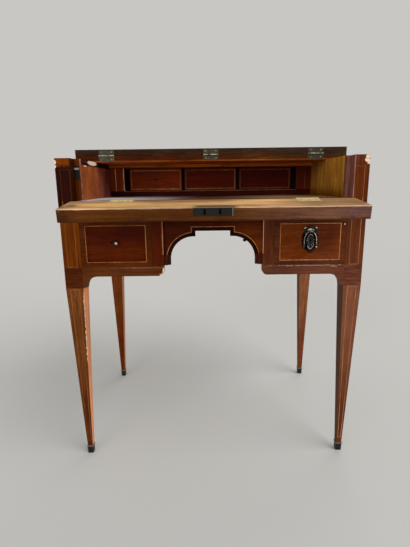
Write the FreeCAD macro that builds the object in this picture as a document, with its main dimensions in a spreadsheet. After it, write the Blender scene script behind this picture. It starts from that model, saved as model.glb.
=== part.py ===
"""Small writing desk with a fold-over top, a sliding writing bed and a hinged fall front.

Four one-piece legs carry a shallow case. Each side holds a drawer beside an arched kneehole.
The writing bed slides out of the case and ends in a hinged fall, which stands up between the
front posts when the desk is shut. A small set of three drawers stands at the back of the bed,
and the front half of the top folds back onto the fixed rear half.

Frame: X to the desk's right as its user sees it, Y towards the back, Z up, in millimetres.
The origin is on the floor, in the middle of the open desk's outline. Inside the expressions,
distances along Y are counted from the front plane of the front posts.
"""
import FreeCAD, Part
import os
import re

DOC = FreeCAD.newDocument("writing_desk")
SHEET = DOC.addObject("Spreadsheet::Sheet", "Sizes")
X_AXIS = FreeCAD.Vector(1, 0, 0)
Y_AXIS = FreeCAD.Vector(0, 1, 0)
NODES = []
ARCH_BEADS = 9
HANGING_BEADS = 3
LINK_BEADS = 3
RISE_BEADS = 6

DRIVING_SIZES = {
    "case_width": 800,            # outer faces of the posts
    "case_depth": 545,            # front face of the front posts to rear face of the rear posts
    "bed_top": 754.5,             # writing height
    "bay_height": 107.5,          # writing bed to the underside of the top
    "post_width": 48,             # square section of the posts
    "leg_shoulder": 521.5,        # height where the posts turn into tapered legs
    "foot_width": 14,             # square section of a leg's end
    "sabot_height": 26,
    "sabot_floor": 3,             # metal under the end of the leg
    "sabot_wall": 0.9,
    "collar_height": 5,           # rim round the mouth of the sabot
    "collar_proud": 0.7,
    "case_bottom": 553.5,         # underside of the two drawer boxes
    "bottom_rail_height": 27,
    "drawer_opening_height": 123,
    "kneehole_half_width": 132,
    "inner_stile_width": 30,
    "frame_thickness": 20,        # rails and stiles of the front, front to back
    "side_panel_thickness": 18,
    "side_panel_recess": 3,       # from the outer faces of the posts
    "lining_thickness": 12,
    "lining_proud": 4,            # above the bed, past the inner faces of the posts
    "filler_height": 15,
    "box_depth": 205,             # drawer boxes, from the front plane to their backs
    "box_panel_thickness": 12,    # box bottoms and backs
    "kneehole_side_thickness": 9,
    "back_thickness": 12,         # board across the back of the case
    "back_recess": 2,
    "back_rail_rise": 121,        # bottom edge of the back panel above the case bottom
    "bracket_flat": 10,
    "bracket_radius": 30,
    "corner_radius": 13,          # lower corner of a box at the kneehole
    "apron_recess": 10,
    "apron_thickness": 14,
    "arch_rise": 119,             # flat top of the arch above the case bottom
    "arch_top_half_width": 46.5,
    "arch_step": 14.5,
    "arch_radius": 62,
    "arch_foot_width": 18,
    "arch_foot_rise": 28,         # lower end of the arch above the case bottom
    "drop_block_width": 11,
    "drop_block_height": 27,
    "drop_block_proud": 5,
    "bed_thickness": 20,
    "bed_front_thickness": 10,    # thinner front strip of the bed, over the front rail
    "bed_back_room": 48.5,        # between the bed, pushed in, and the back
    "bed_out": 21,                # hinge line in front of the posts, drawn out
    "sliding_gap": 0.3,
    "side_gap": 1,
    "bed_runner_width": 52,
    "fall_thickness": 31.5,
    "fall_droop": 7,              # degrees below level when open
    "fall_end_gap": 0.5,
    "fall_top_gap": 0.9,          # under the closed top
    "rebate_width": 9.5,          # rebate in the posts for the closed fall
    "top_thickness": 18,
    "top_overhang": 8,
    "lid_split": 200,             # seam between the fixed and the folding half of the top
    "lid_front_overhang": 9,
    "lid_gap": 0.5,
    "gradin_depth": 165,          # its frame, cheeks and floor, from the inside of the back
    "gradin_floor_height": 18.7,
    "gradin_top_thickness": 12.5,
    "gradin_stile_width": 54,
    "gradin_recess": 18,          # small drawers behind the frame
    "gradin_cheek": 17,
    "gradin_divider": 10,
    "small_drawer_back_room": 9,
    "small_drawer_side": 6,
    "small_drawer_front": 14,
    "small_drawer_bottom": 4,
    "drawer_gap": 0.5,
    "drawer_side_gap": 1.5,
    "drawer_front_thickness": 18,
    "drawer_back_room": 6,        # between a drawer and the back of its box
    "drawer_side": 10,
    "drawer_bottom": 6,
    "drawer_bottom_rise": 6,
    "drawer_side_drop": 7,        # top of the drawer sides below the top of the front
    "guide_height": 16,
    "pin_radius": 1.2,
    "pin_clearance": 0.05,
    "knuckle_radius": 2.5,
    "knuckle_clearance": 0.3,
    "leaf_thickness": 1.5,
    "fall_hinge_length": 58,
    "fall_hinge_leaf": 36,
    "left_fall_hinge": 230,       # middle of a hinge from the middle of the desk
    "right_fall_hinge": 238.5,
    "lid_hinge_length": 46.5,
    "lid_hinge_leaf": 16,
    "lid_hinge_place": 315,
    "lock_width": 92,
    "lock_offset": 2,             # middle of the lock, to the left of the desk's middle
    "lock_plate_height": 20.5,
    "lock_plate_thickness": 1.5,
    "lock_case_width": 80,
    "lock_case_height": 16,
    "lock_case_depth": 22.5,
    "lock_case_wall": 1.5,
    "slot_pitch": 35.5,
    "slot_offset": 3.3,           # middle of the slots, to the left of the lock's middle
    "slot_width": 5.7,
    "slot_height": 12.5,
    "staple_width": 3,
    "staple_depth": 7,
    "staple_reach": 13,           # into the lock
    "staple_rim": 1.5,            # metal round the eye of a staple
    "staple_eye": 5,
    "bolt_bar": 3,
    "bolt_thickness": 3.5,
    "bolt_start": 5,              # bolt fingers below the lock plate
    "finger_length": 5.3,
    "finger_gap": 1.2,
    "catch_height": 37,
    "catch_depth": 12,            # how far its plate runs back along the inside of the post
    "catch_plate": 1.5,
    "catch_drop": 17.5,           # top of the catch below the top of the post
    "catch_hook": 3,              # how far the hook reaches into the closed fall
    "catch_hook_width": 4,
    "catch_hook_height": 6,
    "catch_hook_rise": 24,        # hook above the lower end of the plate
    "catch_clearance": 3,         # between the hook and the notch in the fall
    "knob_radius": 7,
    "knob_neck": 3,
    "knob_reach": 15,
    "knob_rise": 3,               # above the middle of the drawer
    "knob_rose": 6,
    "knob_rose_thickness": 1.5,
    "ornament_height": 44,        # oval medallion
    "ornament_width": 21,
    "ornament_thickness": 2.5,
    "ornament_rim": 2.2,
    "ornament_rise": 1,           # middle of the medallion above the middle of the drawer
    "keyhole_rise": 3,            # round of the keyhole above the middle of the medallion
    "keyhole_radius": 2.2,
    "keyhole_slot": 7,
    "link_sink": 2,               # how deep the lowest bead under the bow sits in the medallion
    "bow_loop": 5.2,
    "bow_cord": 1.7,
    "bow_spread": 9.5,            # middle of a loop from the middle of the bow
    "bead_pitch": 4,
    "bead_sink": 0.9,             # how deep a bead sits in the next one
    "garland_place": 16.2,        # hanging part of a garland from the middle
    "garland_spring": 5,          # where it starts to hang straight, above the middle
    "tassel_length": 12,
    "drawer_lock_width": 46,
    "drawer_lock_height": 40,
    "drawer_lock_thickness": 10,
}

DERIVED_SIZES = {
    "case_half": "case_width / 2",
    "bay_half": "case_half - post_width",
    "case_top": "bed_top + bay_height",
    "post_axis": "case_half - post_width / 2",
    "rear_post_front": "case_depth - post_width",
    "back_outer": "case_depth - back_recess",
    "back_inner": "back_outer - back_thickness",
    "gradin_front": "back_inner - gradin_depth",
    "box_back_inner": "box_depth - box_panel_thickness",
    "drawer_rear": "box_back_inner - drawer_back_room",
    "back_rail_low": "case_bottom + back_rail_rise",
    "side_outer": "case_half - side_panel_recess",
    "side_inner": "side_outer - side_panel_thickness",
    "lining_outer": "bay_half + lining_thickness",
    "bay_inner": "bay_half - lining_proud",
    "drawer_low": "case_bottom + bottom_rail_height",
    "drawer_high": "drawer_low + drawer_opening_height",
    "front_rail_top": "bed_top - bed_front_thickness - sliding_gap",
    "runner_top": "bed_top - bed_thickness - sliding_gap",
    "runner_low": "drawer_high + sliding_gap",
    "bed_half": "bay_half - side_gap",
    "bed_travel": "bed_out + fall_thickness",
    "bed_reach": "back_inner - bed_back_room - bed_travel",
    "stile_outer": "kneehole_half_width + inner_stile_width",
    "kneehole_side_face": "stile_outer - kneehole_side_thickness",
    "bracket_low": "case_bottom - bracket_radius",
    "bracket_inner": "bay_half - bracket_flat - bracket_radius",
    "arch_top": "case_bottom + arch_rise",
    "arch_shoulder": "arch_top - arch_step",
    "arch_centre": "kneehole_half_width - arch_foot_width - arch_radius",
    "arch_spring": "arch_shoulder - arch_radius",
    "arch_foot": "case_bottom + arch_foot_rise",
    "fall_half": "rebate_half - fall_end_gap",
    "fall_length": "bay_height - fall_top_gap",
    "top_high": "case_top + top_thickness",
    "top_half": "case_half + top_overhang",
    "top_rear": "case_depth + top_overhang",
    "lid_low": "top_high + lid_gap",
    "lid_high": "lid_low + top_thickness",
    "lid_length": "lid_split - 2 * lid_gap + lid_front_overhang",
    "lid_axis_y": "lid_split - lid_gap",
    "lid_axis_z": "top_high + lid_gap / 2",
    "gradin_floor_low": "bed_top + sliding_gap",
    "gradin_floor_top": "gradin_floor_low + gradin_floor_height",
    "gradin_roof_low": "case_top - gradin_top_thickness",
    "gradin_half": "bay_half - gradin_stile_width",
    "rebate_half": "bay_half + rebate_width",
    "catch_low": "case_top - catch_drop - catch_height",
    "hook_low": "catch_low + catch_hook_rise",
    "rebate_floor": "fall_thickness + side_gap",
    "hook_right": "-bay_half - catch_plate",
    "small_front": "gradin_front + gradin_recess",
    "cheek_inner": "gradin_half - gradin_cheek",
    "small_pitch": "(2 * cheek_inner + gradin_divider) / 3",
    "small_half": "(small_pitch - gradin_divider) / 2 - drawer_gap",
    "small_low": "gradin_floor_top + drawer_gap",
    "small_high": "gradin_roof_low - drawer_gap",
    "small_rear": "back_inner - small_drawer_back_room",
    "drawer_middle": "(stile_outer + bay_half) / 2",
    "drawer_half": "(bay_half - stile_outer) / 2 - drawer_gap",
    "drawer_box_half": "(bay_half - stile_outer) / 2 - drawer_side_gap",
    "drawer_front_low": "drawer_low + drawer_gap",
    "drawer_front_high": "drawer_high - drawer_gap",
    "drawer_side_low": "drawer_low + sliding_gap",
    "drawer_floor_low": "drawer_side_low + drawer_bottom_rise",
    "drawer_floor_top": "drawer_floor_low + drawer_bottom",
    "drawer_side_high": "drawer_front_high - drawer_side_drop",
    "drawer_centre_z": "(drawer_low + drawer_high) / 2",
    "medallion_z": "drawer_centre_z + ornament_rise",
    "bead_radius": "(bead_pitch + bead_sink) / 2",
    "bow_rise": "ornament_height / 2 - link_sink + %d * bead_pitch" % LINK_BEADS,
    "garland_arch": "%d * bead_pitch" % RISE_BEADS,
    "garland_angle": "90 / %d" % ARCH_BEADS,
    "garland_end": "garland_spring - %d * bead_pitch" % HANGING_BEADS,
    "knuckle_space": "knuckle_radius + knuckle_clearance",
    "lock_case_low": "(lock_plate_height + lock_case_height) / 2",
    "lock_case_high": "(lock_plate_height - lock_case_height) / 2",
    "lock_back": "lock_plate_thickness + lock_case_depth",
    "left_slot": "-slot_offset - slot_pitch / 2",
    "right_slot": "-slot_offset + slot_pitch / 2",
    "lock_left": "-lock_width / 2 - lock_offset",
    "lock_right": "lock_width / 2 - lock_offset",
    "link_front": "2 * lid_axis_y - fall_thickness",
    "link_middle": "link_front + lock_plate_height / 2",
    "bolt_travel": "finger_length - finger_gap / 4",
    "front_reach": "bed_out + fall_length * cos(fall_droop)",
    "front_plane": "(front_reach - top_rear) / 2",
}


def in_sheet(expression):
    """Give the expression with each size's name looked up in the sheet."""
    return re.sub(r"\b([a-z][a-z_]*)\b(?!\()", r"Sizes.\1", expression)


def fill_sheet():
    """Write every driving size and every size that follows from them into the sheet."""
    rows = [(name, str(number)) for name, number in DRIVING_SIZES.items()]
    plain = re.compile(r"\b([a-z][a-z_]*)\b(?!\()")
    rows += [(name, "=" + plain.sub(r"\1", rule)) for name, rule in DERIVED_SIZES.items()]
    for row, (name, content) in enumerate(rows, start=1):
        SHEET.set("A%d" % row, name)
        SHEET.set("B%d" % row, content)
        SHEET.setAlias("B%d" % row, name)
    DOC.recompute()


def bind(thing, **rules):
    """Bind properties to expressions; a double underscore in a keyword stands for a dot."""
    for name, rule in rules.items():
        thing.setExpression(name.replace("__", "."), in_sheet(rule))
    return thing


def node(thing, label):
    """Name an object as one sub-part of the desk."""
    thing.Label = label
    NODES.append(thing)
    return thing


def put(thing, x, y, z, local=False):
    """Place an object; y counts from the posts' front plane unless the piece has its own frame."""
    along_y = y if local else "front_plane + " + y
    return bind(thing, Placement__Base__x=x, Placement__Base__y=along_y, Placement__Base__z=z)


def box(xs, ys, zs, local=False):
    """A board between two places along each axis."""
    board = DOC.addObject("Part::Box", "Board")
    spans = ["(%s) - (%s)" % (span[1], span[0]) for span in (xs, ys, zs)]
    bind(board, Length=spans[0], Width=spans[1], Height=spans[2])
    return put(board, "(%s)" % xs[0], "(%s)" % ys[0], "(%s)" % zs[0], local)


def mirrored(side, inner, outer):
    """The span along X of a piece on the left (-1) or the right (1) of the desk."""
    if side > 0:
        return (inner, outer)
    return ("-(%s)" % outer, "-(%s)" % inner)


def at_side(side, place):
    """A place along X on the left (-1) or the right (1) of the desk."""
    return place if side > 0 else "-(%s)" % place


def rod(direction, radius, span, first, second, local=False):
    """A round bar along X or Y: its span, then its place along the other two axes."""
    bar = DOC.addObject("Part::Cylinder", "Rod")
    bind(bar, Radius=radius, Height="(%s) - (%s)" % (span[1], span[0]))
    if direction == "x":
        bar.Placement.Rotation = FreeCAD.Rotation(Y_AXIS, 90)
        return put(bar, span[0], first, second, local)
    bar.Placement.Rotation = FreeCAD.Rotation(X_AXIS, -90)
    return put(bar, first, span[0], second, local)


def ball(radius, x, y, z):
    """A round bead."""
    bead = bind(DOC.addObject("Part::Sphere", "Bead"), Radius=radius)
    return put(bead, x, y, z)


def fuse(*pieces):
    """Join pieces into one solid."""
    joined = DOC.addObject("Part::MultiFuse", "Joined")
    joined.Shapes = list(pieces)
    return joined


def group(*pieces):
    """Keep separate solids together in one node."""
    together = DOC.addObject("Part::Compound", "Group")
    together.Links = list(pieces)
    return together


def cut(base, *tools):
    """Take the tools out of the base."""
    result = DOC.addObject("Part::Cut", "CutBoard")
    result.Base = base
    result.Tool = tools[0] if len(tools) == 1 else fuse(*tools)
    return result


def taper(x, y, zs, low_width, high_width):
    """A square pyramid stump about an upright line."""
    stump = DOC.addObject("Part::Wedge", "Taper")
    low, high = "(%s) / 2" % low_width, "(%s) / 2" % high_width
    bind(stump, Xmin="-" + low, Xmax=low, Zmin="-" + low, Zmax=low, Ymin="0",
         X2min="-" + high, X2max=high, Z2min="-" + high, Z2max=high,
         Ymax="(%s) - (%s)" % (zs[1], zs[0]))
    stump.Placement.Rotation = FreeCAD.Rotation(X_AXIS, 90)
    return put(stump, x, y, zs[0])


def leg_width(height):
    """The square section of a tapered leg at a height."""
    rise = "((%s) - sabot_floor) / (leg_shoulder - sabot_floor)" % height
    return "(foot_width + (post_width - foot_width) * %s)" % rise


SIDES = {"left": -1, "right": 1}


def build_legs():
    """Four legs, each one piece with its post, and the metal sabots on their feet."""
    sabots = []
    for name, side in SIDES.items():
        x = at_side(side, "post_axis")
        for row, y in (("front", "post_width / 2"), ("rear", "case_depth - post_width / 2")):
            leg = taper(x, y, ("sabot_floor", "leg_shoulder"), "foot_width", "post_width")
            depth = ("(%s) - post_width / 2" % y, "(%s) + post_width / 2" % y)
            post = box(mirrored(side, "bay_half", "case_half"), depth, ("leg_shoulder", "case_top"))
            whole = fuse(leg, post)
            if row == "front":
                cuts = [box(mirrored(side, "bay_half - side_gap", "rebate_half"),
                            ("-side_gap", "rebate_floor"),
                            ("front_rail_top", "case_top + side_gap"))]
                if name == "left":
                    cuts.append(catch_plate("side_gap"))
                whole = cut(whole, *cuts)
            node(whole, "%s_%s_leg" % (row, name))
            sabots.append(sabot(x, y))
    node(group(*sabots), "leg_sabots")


def sabot(x, y):
    """A metal shoe: a tapered cup with a rim, round the end of a leg."""
    mouth = leg_width("sabot_height")
    shell = taper(x, y, ("0", "sabot_height"), "foot_width + 2 * sabot_wall",
                  mouth + " + 2 * sabot_wall")
    rim_width = mouth + " + 2 * (sabot_wall + collar_proud)"
    rim = taper(x, y, ("sabot_height - collar_height", "sabot_height"), rim_width, rim_width)
    inside = taper(x, y, ("sabot_floor", "leg_shoulder"), "foot_width", "post_width")
    return cut(fuse(shell, rim), inside)


def build_case():
    """Sides, linings, backs and the two drawer boxes."""
    fillers, floors, backs, stiles, guides, runners = [], [], [], [], [], []
    between_posts = ("post_width", "rear_post_front")
    behind_frame = ("frame_thickness", "back_inner")
    for name, side in SIDES.items():
        node(box(mirrored(side, "side_inner", "side_outer"), between_posts,
                 ("case_bottom", "case_top")), name + "_side_panel")
        lining = box(mirrored(side, "bay_half", "lining_outer"), between_posts,
                     ("runner_low", "case_top"))
        face = box(mirrored(side, "bay_inner", "bay_half"), between_posts,
                   ("gradin_floor_low", "case_top"))
        node(fuse(lining, face), name + "_bay_lining")
        fillers.append(box(mirrored(side, "lining_outer", "side_inner"), between_posts,
                           ("case_top - filler_height", "case_top")))
        node(box(mirrored(side, "kneehole_side_face", "stile_outer"),
                 ("frame_thickness", "box_depth"), ("case_bottom", "runner_top")),
             name + "_kneehole_side")
        floors.append(box(mirrored(side, "stile_outer", "bay_half"),
                          ("frame_thickness", "box_back_inner"),
                          ("drawer_low - box_panel_thickness", "drawer_low")))
        backs.append(box(mirrored(side, "stile_outer", "side_inner"),
                         ("box_back_inner", "box_depth"), ("case_bottom", "runner_low")))
        stiles.append(box(mirrored(side, "kneehole_half_width", "stile_outer"),
                          ("0", "frame_thickness"), ("drawer_low", "drawer_high")))
        guides.append(box(mirrored(side, "bay_half", "side_inner"),
                          ("post_width", "box_back_inner"),
                          ("drawer_low - box_panel_thickness", "drawer_low + guide_height")))
        runners.append(box(mirrored(side, "bay_half - bed_runner_width", "bay_half"), behind_frame,
                           ("runner_low", "runner_top")))
        node(bottom_rail(side), name + "_bottom_rail")
    node(group(*fillers), "side_fillers")
    node(group(*floors), "box_bottoms")
    node(group(*backs), "box_backs")
    node(group(*stiles), "inner_stiles")
    node(group(*guides), "drawer_guides")
    node(group(*runners), "bed_runners")
    node(box(("-bay_half", "bay_half"), ("back_inner", "back_outer"),
             ("back_rail_low", "case_top")), "back_panel")
    node(box(("-bay_half", "bay_half"), ("0", "frame_thickness"),
             ("drawer_high", "front_rail_top")), "front_top_rail")


def bottom_rail(side):
    """Rail under a drawer, rounded at the kneehole, with a hollow bracket beside the leg."""
    depth = ("0", "frame_thickness")
    past = ("-side_gap", "frame_thickness + side_gap")
    rail = box(mirrored(side, "kneehole_half_width", "bay_half"), depth,
               ("case_bottom", "drawer_low"))
    bracket = box(mirrored(side, "bracket_inner", "bay_half"), depth,
                  ("bracket_low", "case_bottom"))
    hollow = rod("y", "bracket_radius", past, at_side(side, "bracket_inner"), "bracket_low")
    corner = box(mirrored(side, "kneehole_half_width - side_gap",
                          "kneehole_half_width + corner_radius"),
                 past, ("case_bottom - side_gap", "case_bottom + corner_radius"))
    quarter = rod("y", "corner_radius", past,
                  at_side(side, "kneehole_half_width + corner_radius"),
                  "case_bottom + corner_radius")
    return cut(fuse(rail, bracket), hollow, cut(corner, quarter))


def build_apron():
    """Arched apron across the kneehole, with a dark block on each of its feet."""
    depth = ("apron_recess", "apron_recess + apron_thickness")
    past = ("apron_recess - side_gap", "apron_recess + apron_thickness + side_gap")
    floor = "case_bottom"
    board = box(("-kneehole_half_width", "kneehole_half_width"), depth, ("arch_foot", "drawer_high"))
    openings = [
        box(("-arch_top_half_width", "arch_top_half_width"), past, (floor, "arch_top")),
        box(("-arch_centre", "arch_centre"), past, (floor, "arch_shoulder")),
        box(("-arch_centre - arch_radius", "arch_centre + arch_radius"), past,
            (floor, "arch_spring")),
    ]
    blocks = []
    for side in SIDES.values():
        openings.append(rod("y", "arch_radius", past, at_side(side, "arch_centre"), "arch_spring"))
        blocks.append(box(mirrored(side, "kneehole_half_width - drop_block_width",
                                   "kneehole_half_width"),
                          ("apron_recess - drop_block_proud", "apron_recess"),
                          ("arch_foot", "arch_foot + drop_block_height")))
    node(cut(board, *openings), "kneehole_apron")
    node(group(*blocks), "apron_drop_blocks")


def build_gradin():
    """Frame, cheeks and dividers of the three small drawers at the back of the writing bed."""
    depth = ("gradin_front", "back_inner")
    heights = ("gradin_floor_top", "gradin_roof_low")
    node(box(("-bay_inner", "bay_inner"), depth, ("gradin_floor_low", "gradin_floor_top")),
         "gradin_floor")
    node(box(("-bay_inner", "bay_inner"), depth, ("gradin_roof_low", "case_top")), "gradin_top")
    stiles, partitions = [], []
    for side in SIDES.values():
        stiles.append(box(mirrored(side, "gradin_half", "bay_inner"),
                          ("gradin_front", "small_front"), heights))
        partitions.append(box(mirrored(side, "cheek_inner", "gradin_half"),
                              ("small_front", "back_inner"), heights))
        partitions.append(box(mirrored(side, "(small_pitch - gradin_divider) / 2",
                                       "(small_pitch + gradin_divider) / 2"),
                              ("small_front", "back_inner"), heights))
    node(group(*stiles), "gradin_stiles")
    node(group(*partitions), "gradin_partitions")


def hinge_knuckles(middle, length, y, z, local):
    """The spans of a three-knuckle hinge: two outer knuckles and the one between them."""
    third = "%s / 6" % length
    outer = [("%s - %s / 2" % (middle, length), "%s - %s" % (middle, third)),
             ("%s + %s" % (middle, third), "%s + %s / 2" % (middle, length))]
    inner = ("%s - %s + knuckle_clearance" % (middle, third),
             "%s + %s - knuckle_clearance" % (middle, third))
    wide_inner = ("%s - %s" % (middle, third), "%s + %s" % (middle, third))
    wide_outer = [(outer[0][0] + " - side_gap", outer[0][1] + " + knuckle_clearance"),
                  (outer[1][0] + " - knuckle_clearance", outer[1][1] + " + side_gap")]
    pin_hole = rod("x", "pin_radius + pin_clearance",
                   (outer[0][0] + " - side_gap", outer[1][1] + " + side_gap"), y, z, local)
    return {
        "outer": [rod("x", "knuckle_radius", span, y, z, local) for span in outer],
        "inner": [rod("x", "knuckle_radius", inner, y, z, local)],
        "clear_inner": [rod("x", "knuckle_space", wide_inner, y, z, local)],
        "clear_outer": [rod("x", "knuckle_space", span, y, z, local) for span in wide_outer],
        "hole": pin_hole,
    }


def hinge_leaf(plate, knuckles, clearances, hole):
    """A hinge leaf: plate cleared round the other leaf's knuckles, own knuckles, pin hole."""
    return cut(fuse(cut(plate, *clearances), *knuckles), hole)


def build_top():
    """Fixed rear half of the top, folding front half and the three butt hinges between them."""
    board = box(("-top_half", "top_half"), ("lid_split", "top_rear"), ("case_top", "top_high"))
    leaf = box(("-top_half", "top_half"), ("lid_split", "lid_split + lid_length"),
               ("lid_low", "lid_high"))
    fixed, moving, pins, board_cuts, leaf_cuts = [], [], [], [], []
    edge = ("lid_split", "lid_split + leaf_thickness")
    pocket = ("lid_split - side_gap", "lid_split + leaf_thickness")
    for place in ("-lid_hinge_place", "0", "lid_hinge_place"):
        across = ("%s - lid_hinge_length / 2" % place, "%s + lid_hinge_length / 2" % place)
        below = ("lid_axis_z - lid_hinge_leaf", "lid_axis_z")
        above = ("lid_axis_z", "lid_axis_z + lid_hinge_leaf")
        parts = hinge_knuckles(place, "lid_hinge_length", "lid_axis_y", "lid_axis_z", False)
        fixed.append(hinge_leaf(box(across, edge, below), parts["outer"], parts["clear_inner"],
                                parts["hole"]))
        moving.append(hinge_leaf(box(across, edge, above), parts["inner"], parts["clear_outer"],
                                 parts["hole"]))
        pins.append(rod("x", "pin_radius", across, "lid_axis_y", "lid_axis_z"))
        groove = rod("x", "knuckle_space", across, "lid_axis_y", "lid_axis_z")
        board_cuts += [groove, box(across, pocket, below)]
        leaf_cuts += [groove, box(across, pocket, above)]
    node(cut(board, *board_cuts), "top_rear_board")
    leaf_cuts.append(box(("lock_left", "lock_right"),
                         ("link_front", "link_front + lock_plate_height"),
                         ("lid_high - leaf_thickness", "lid_high + side_gap")))
    node(cut(leaf, *leaf_cuts), "lid_leaf")
    node(group(*fixed), "lid_hinge_fixed_leaves")
    node(group(*moving), "lid_hinge_moving_leaves")
    node(group(*pins), "lid_hinge_pins")
    build_link_plate()


def build_link_plate():
    """Plate let into the folding half, with two eyed staples that enter the lock."""
    plate = box(("lock_left", "lock_right"),
                ("link_front", "link_front + lock_plate_height"),
                ("lid_high - leaf_thickness", "lid_high"))
    reach = "lid_high + fall_top_gap + staple_reach"
    depth = ("link_middle - staple_depth / 2", "link_middle + staple_depth / 2")
    staples, eyes = [plate], []
    for slot in ("left_slot", "right_slot"):
        staples.append(box(("%s - staple_width / 2" % slot, "%s + staple_width / 2" % slot), depth,
                           ("lid_high - leaf_thickness", reach)))
        eyes.append(box(("%s - staple_width" % slot, "%s + staple_width" % slot),
                        ("link_middle - staple_depth / 2 + staple_rim",
                         "link_middle + staple_depth / 2 - staple_rim"),
                        (reach + " - staple_rim - staple_eye", reach + " - staple_rim")))
    node(cut(fuse(*staples), *eyes), "lid_link_plate")


def catch_plate(overrun):
    """Angle plate let into the left post's arris; the overrun makes it a cutter."""
    height = ("catch_low", "catch_low + catch_height")
    start = "rebate_floor - %s" % overrun
    inner = "-bay_half + %s" % overrun
    return fuse(box(("-rebate_half", inner), (start, "rebate_floor + catch_plate"), height),
                box(("hook_right", inner), (start, "rebate_floor + catch_depth"), height))


def build_catch():
    """Iron catch in the left post: a flush angle plate and a small hook for the fall."""
    hook = box(("hook_right - catch_hook_width", "hook_right"),
               ("fall_thickness - catch_hook", "rebate_floor"),
               ("hook_low", "hook_low + catch_hook_height"))
    node(fuse(catch_plate("0"), hook), "fall_catch")


def build_bed():
    """Sliding writing bed with a thinner front strip, and the fixed halves of its hinges."""
    bed = box(("-bed_half", "bed_half"), ("-bed_out", "bed_reach"),
              ("bed_top - bed_thickness", "bed_top"))
    step = box(("-bay_half", "bay_half"), ("-bed_out - side_gap", "frame_thickness + sliding_gap"),
               ("bed_top - bed_thickness - side_gap", "bed_top - bed_front_thickness"))
    leaves, pins, cuts = [], [], [step]
    for name, side in SIDES.items():
        middle = at_side(side, name + "_fall_hinge")
        across = ("%s - fall_hinge_length / 2" % middle, "%s + fall_hinge_length / 2" % middle)
        parts = hinge_knuckles(middle, "fall_hinge_length", "-bed_out", "bed_top", False)
        plate = box(across, ("-bed_out", "-bed_out + fall_hinge_leaf"),
                    ("bed_top - leaf_thickness", "bed_top"))
        leaves.append(hinge_leaf(plate, parts["outer"], parts["clear_inner"], parts["hole"]))
        pins.append(rod("x", "pin_radius", across, "-bed_out", "bed_top"))
        cuts.append(rod("x", "knuckle_space", across, "-bed_out", "bed_top"))
        cuts.append(box(across, ("-bed_out - side_gap", "-bed_out + fall_hinge_leaf"),
                        ("bed_top - leaf_thickness", "bed_top + side_gap")))
    node(cut(bed, *cuts), "writing_bed")
    node(group(*leaves), "fall_hinge_bed_leaves")
    node(group(*pins), "fall_hinge_pins")


def open_fall(thing, label):
    """Hang a piece of the fall on the hinge line, at the angle of the open fall.

    The pieces are drawn with the hinge line as their origin, the fall lying level in front
    of it, so that -Y runs to the fall's far edge and the writing surface is at zero height.
    """
    put(thing, "0", "-bed_out", "bed_top")
    thing.Placement.Rotation = FreeCAD.Rotation(X_AXIS, DRIVING_SIZES["fall_droop"])
    bind(thing, Placement__Rotation__Angle="fall_droop")
    return node(thing, label)


def build_fall():
    """Hinged fall, its hinge leaves and the link lock let into its far edge."""
    zero = "0"
    far = "-fall_length"
    board = box(("-fall_half", "fall_half"), (far, "fall_thickness"), ("-fall_thickness", zero),
                local=True)
    rear = box(("-case_half", "case_half"), (zero, "2 * bed_top"), ("-bed_top", "2 * bed_top"),
               local=True)
    rear.Placement.Rotation = FreeCAD.Rotation(X_AXIS, -DRIVING_SIZES["fall_droop"])
    bind(rear, Placement__Rotation__Angle="-fall_droop",
         Placement__Base__y="-sliding_gap - bed_top * sin(fall_droop)",
         Placement__Base__z="-bed_top * cos(fall_droop)")
    lock_pocket = box(("lock_left", "lock_right"),
                      (far + " - side_gap", far + " + lock_plate_thickness"),
                      ("-lock_plate_height", "side_gap"), local=True)
    case_span = ("-lock_case_width / 2 - lock_offset", "lock_case_width / 2 - lock_offset")
    case_depth = (far + " + lock_plate_thickness", far + " + lock_back")
    case_height = ("-lock_case_low", "-lock_case_high")
    notch = box(("-fall_half - side_gap", "hook_right + catch_clearance"),
                ("bed_top - hook_low - catch_hook_height - catch_clearance",
                 "bed_top - hook_low + catch_clearance"),
                ("-catch_hook - catch_clearance", "side_gap"), local=True)
    cuts = [rear, lock_pocket, notch, box(case_span, case_depth, case_height, local=True)]
    leaves = []
    for name, side in SIDES.items():
        middle = at_side(side, name + "_fall_hinge")
        across = ("%s - fall_hinge_length / 2" % middle, "%s + fall_hinge_length / 2" % middle)
        parts = hinge_knuckles(middle, "fall_hinge_length", zero, zero, True)
        plate = box(across, ("-fall_hinge_leaf", zero), ("-leaf_thickness", zero), local=True)
        leaves.append(hinge_leaf(plate, parts["inner"], parts["clear_outer"], parts["hole"]))
        cuts.append(rod("x", "knuckle_space", across, zero, zero, local=True))
        cuts.append(box(across, ("-fall_hinge_leaf", "side_gap"), ("-leaf_thickness", "side_gap"),
                        local=True))
    open_fall(cut(board, *cuts), "fall_board")
    open_fall(group(*leaves), "fall_hinge_leaves")
    build_lock(far, case_span, case_depth, case_height)


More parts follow.
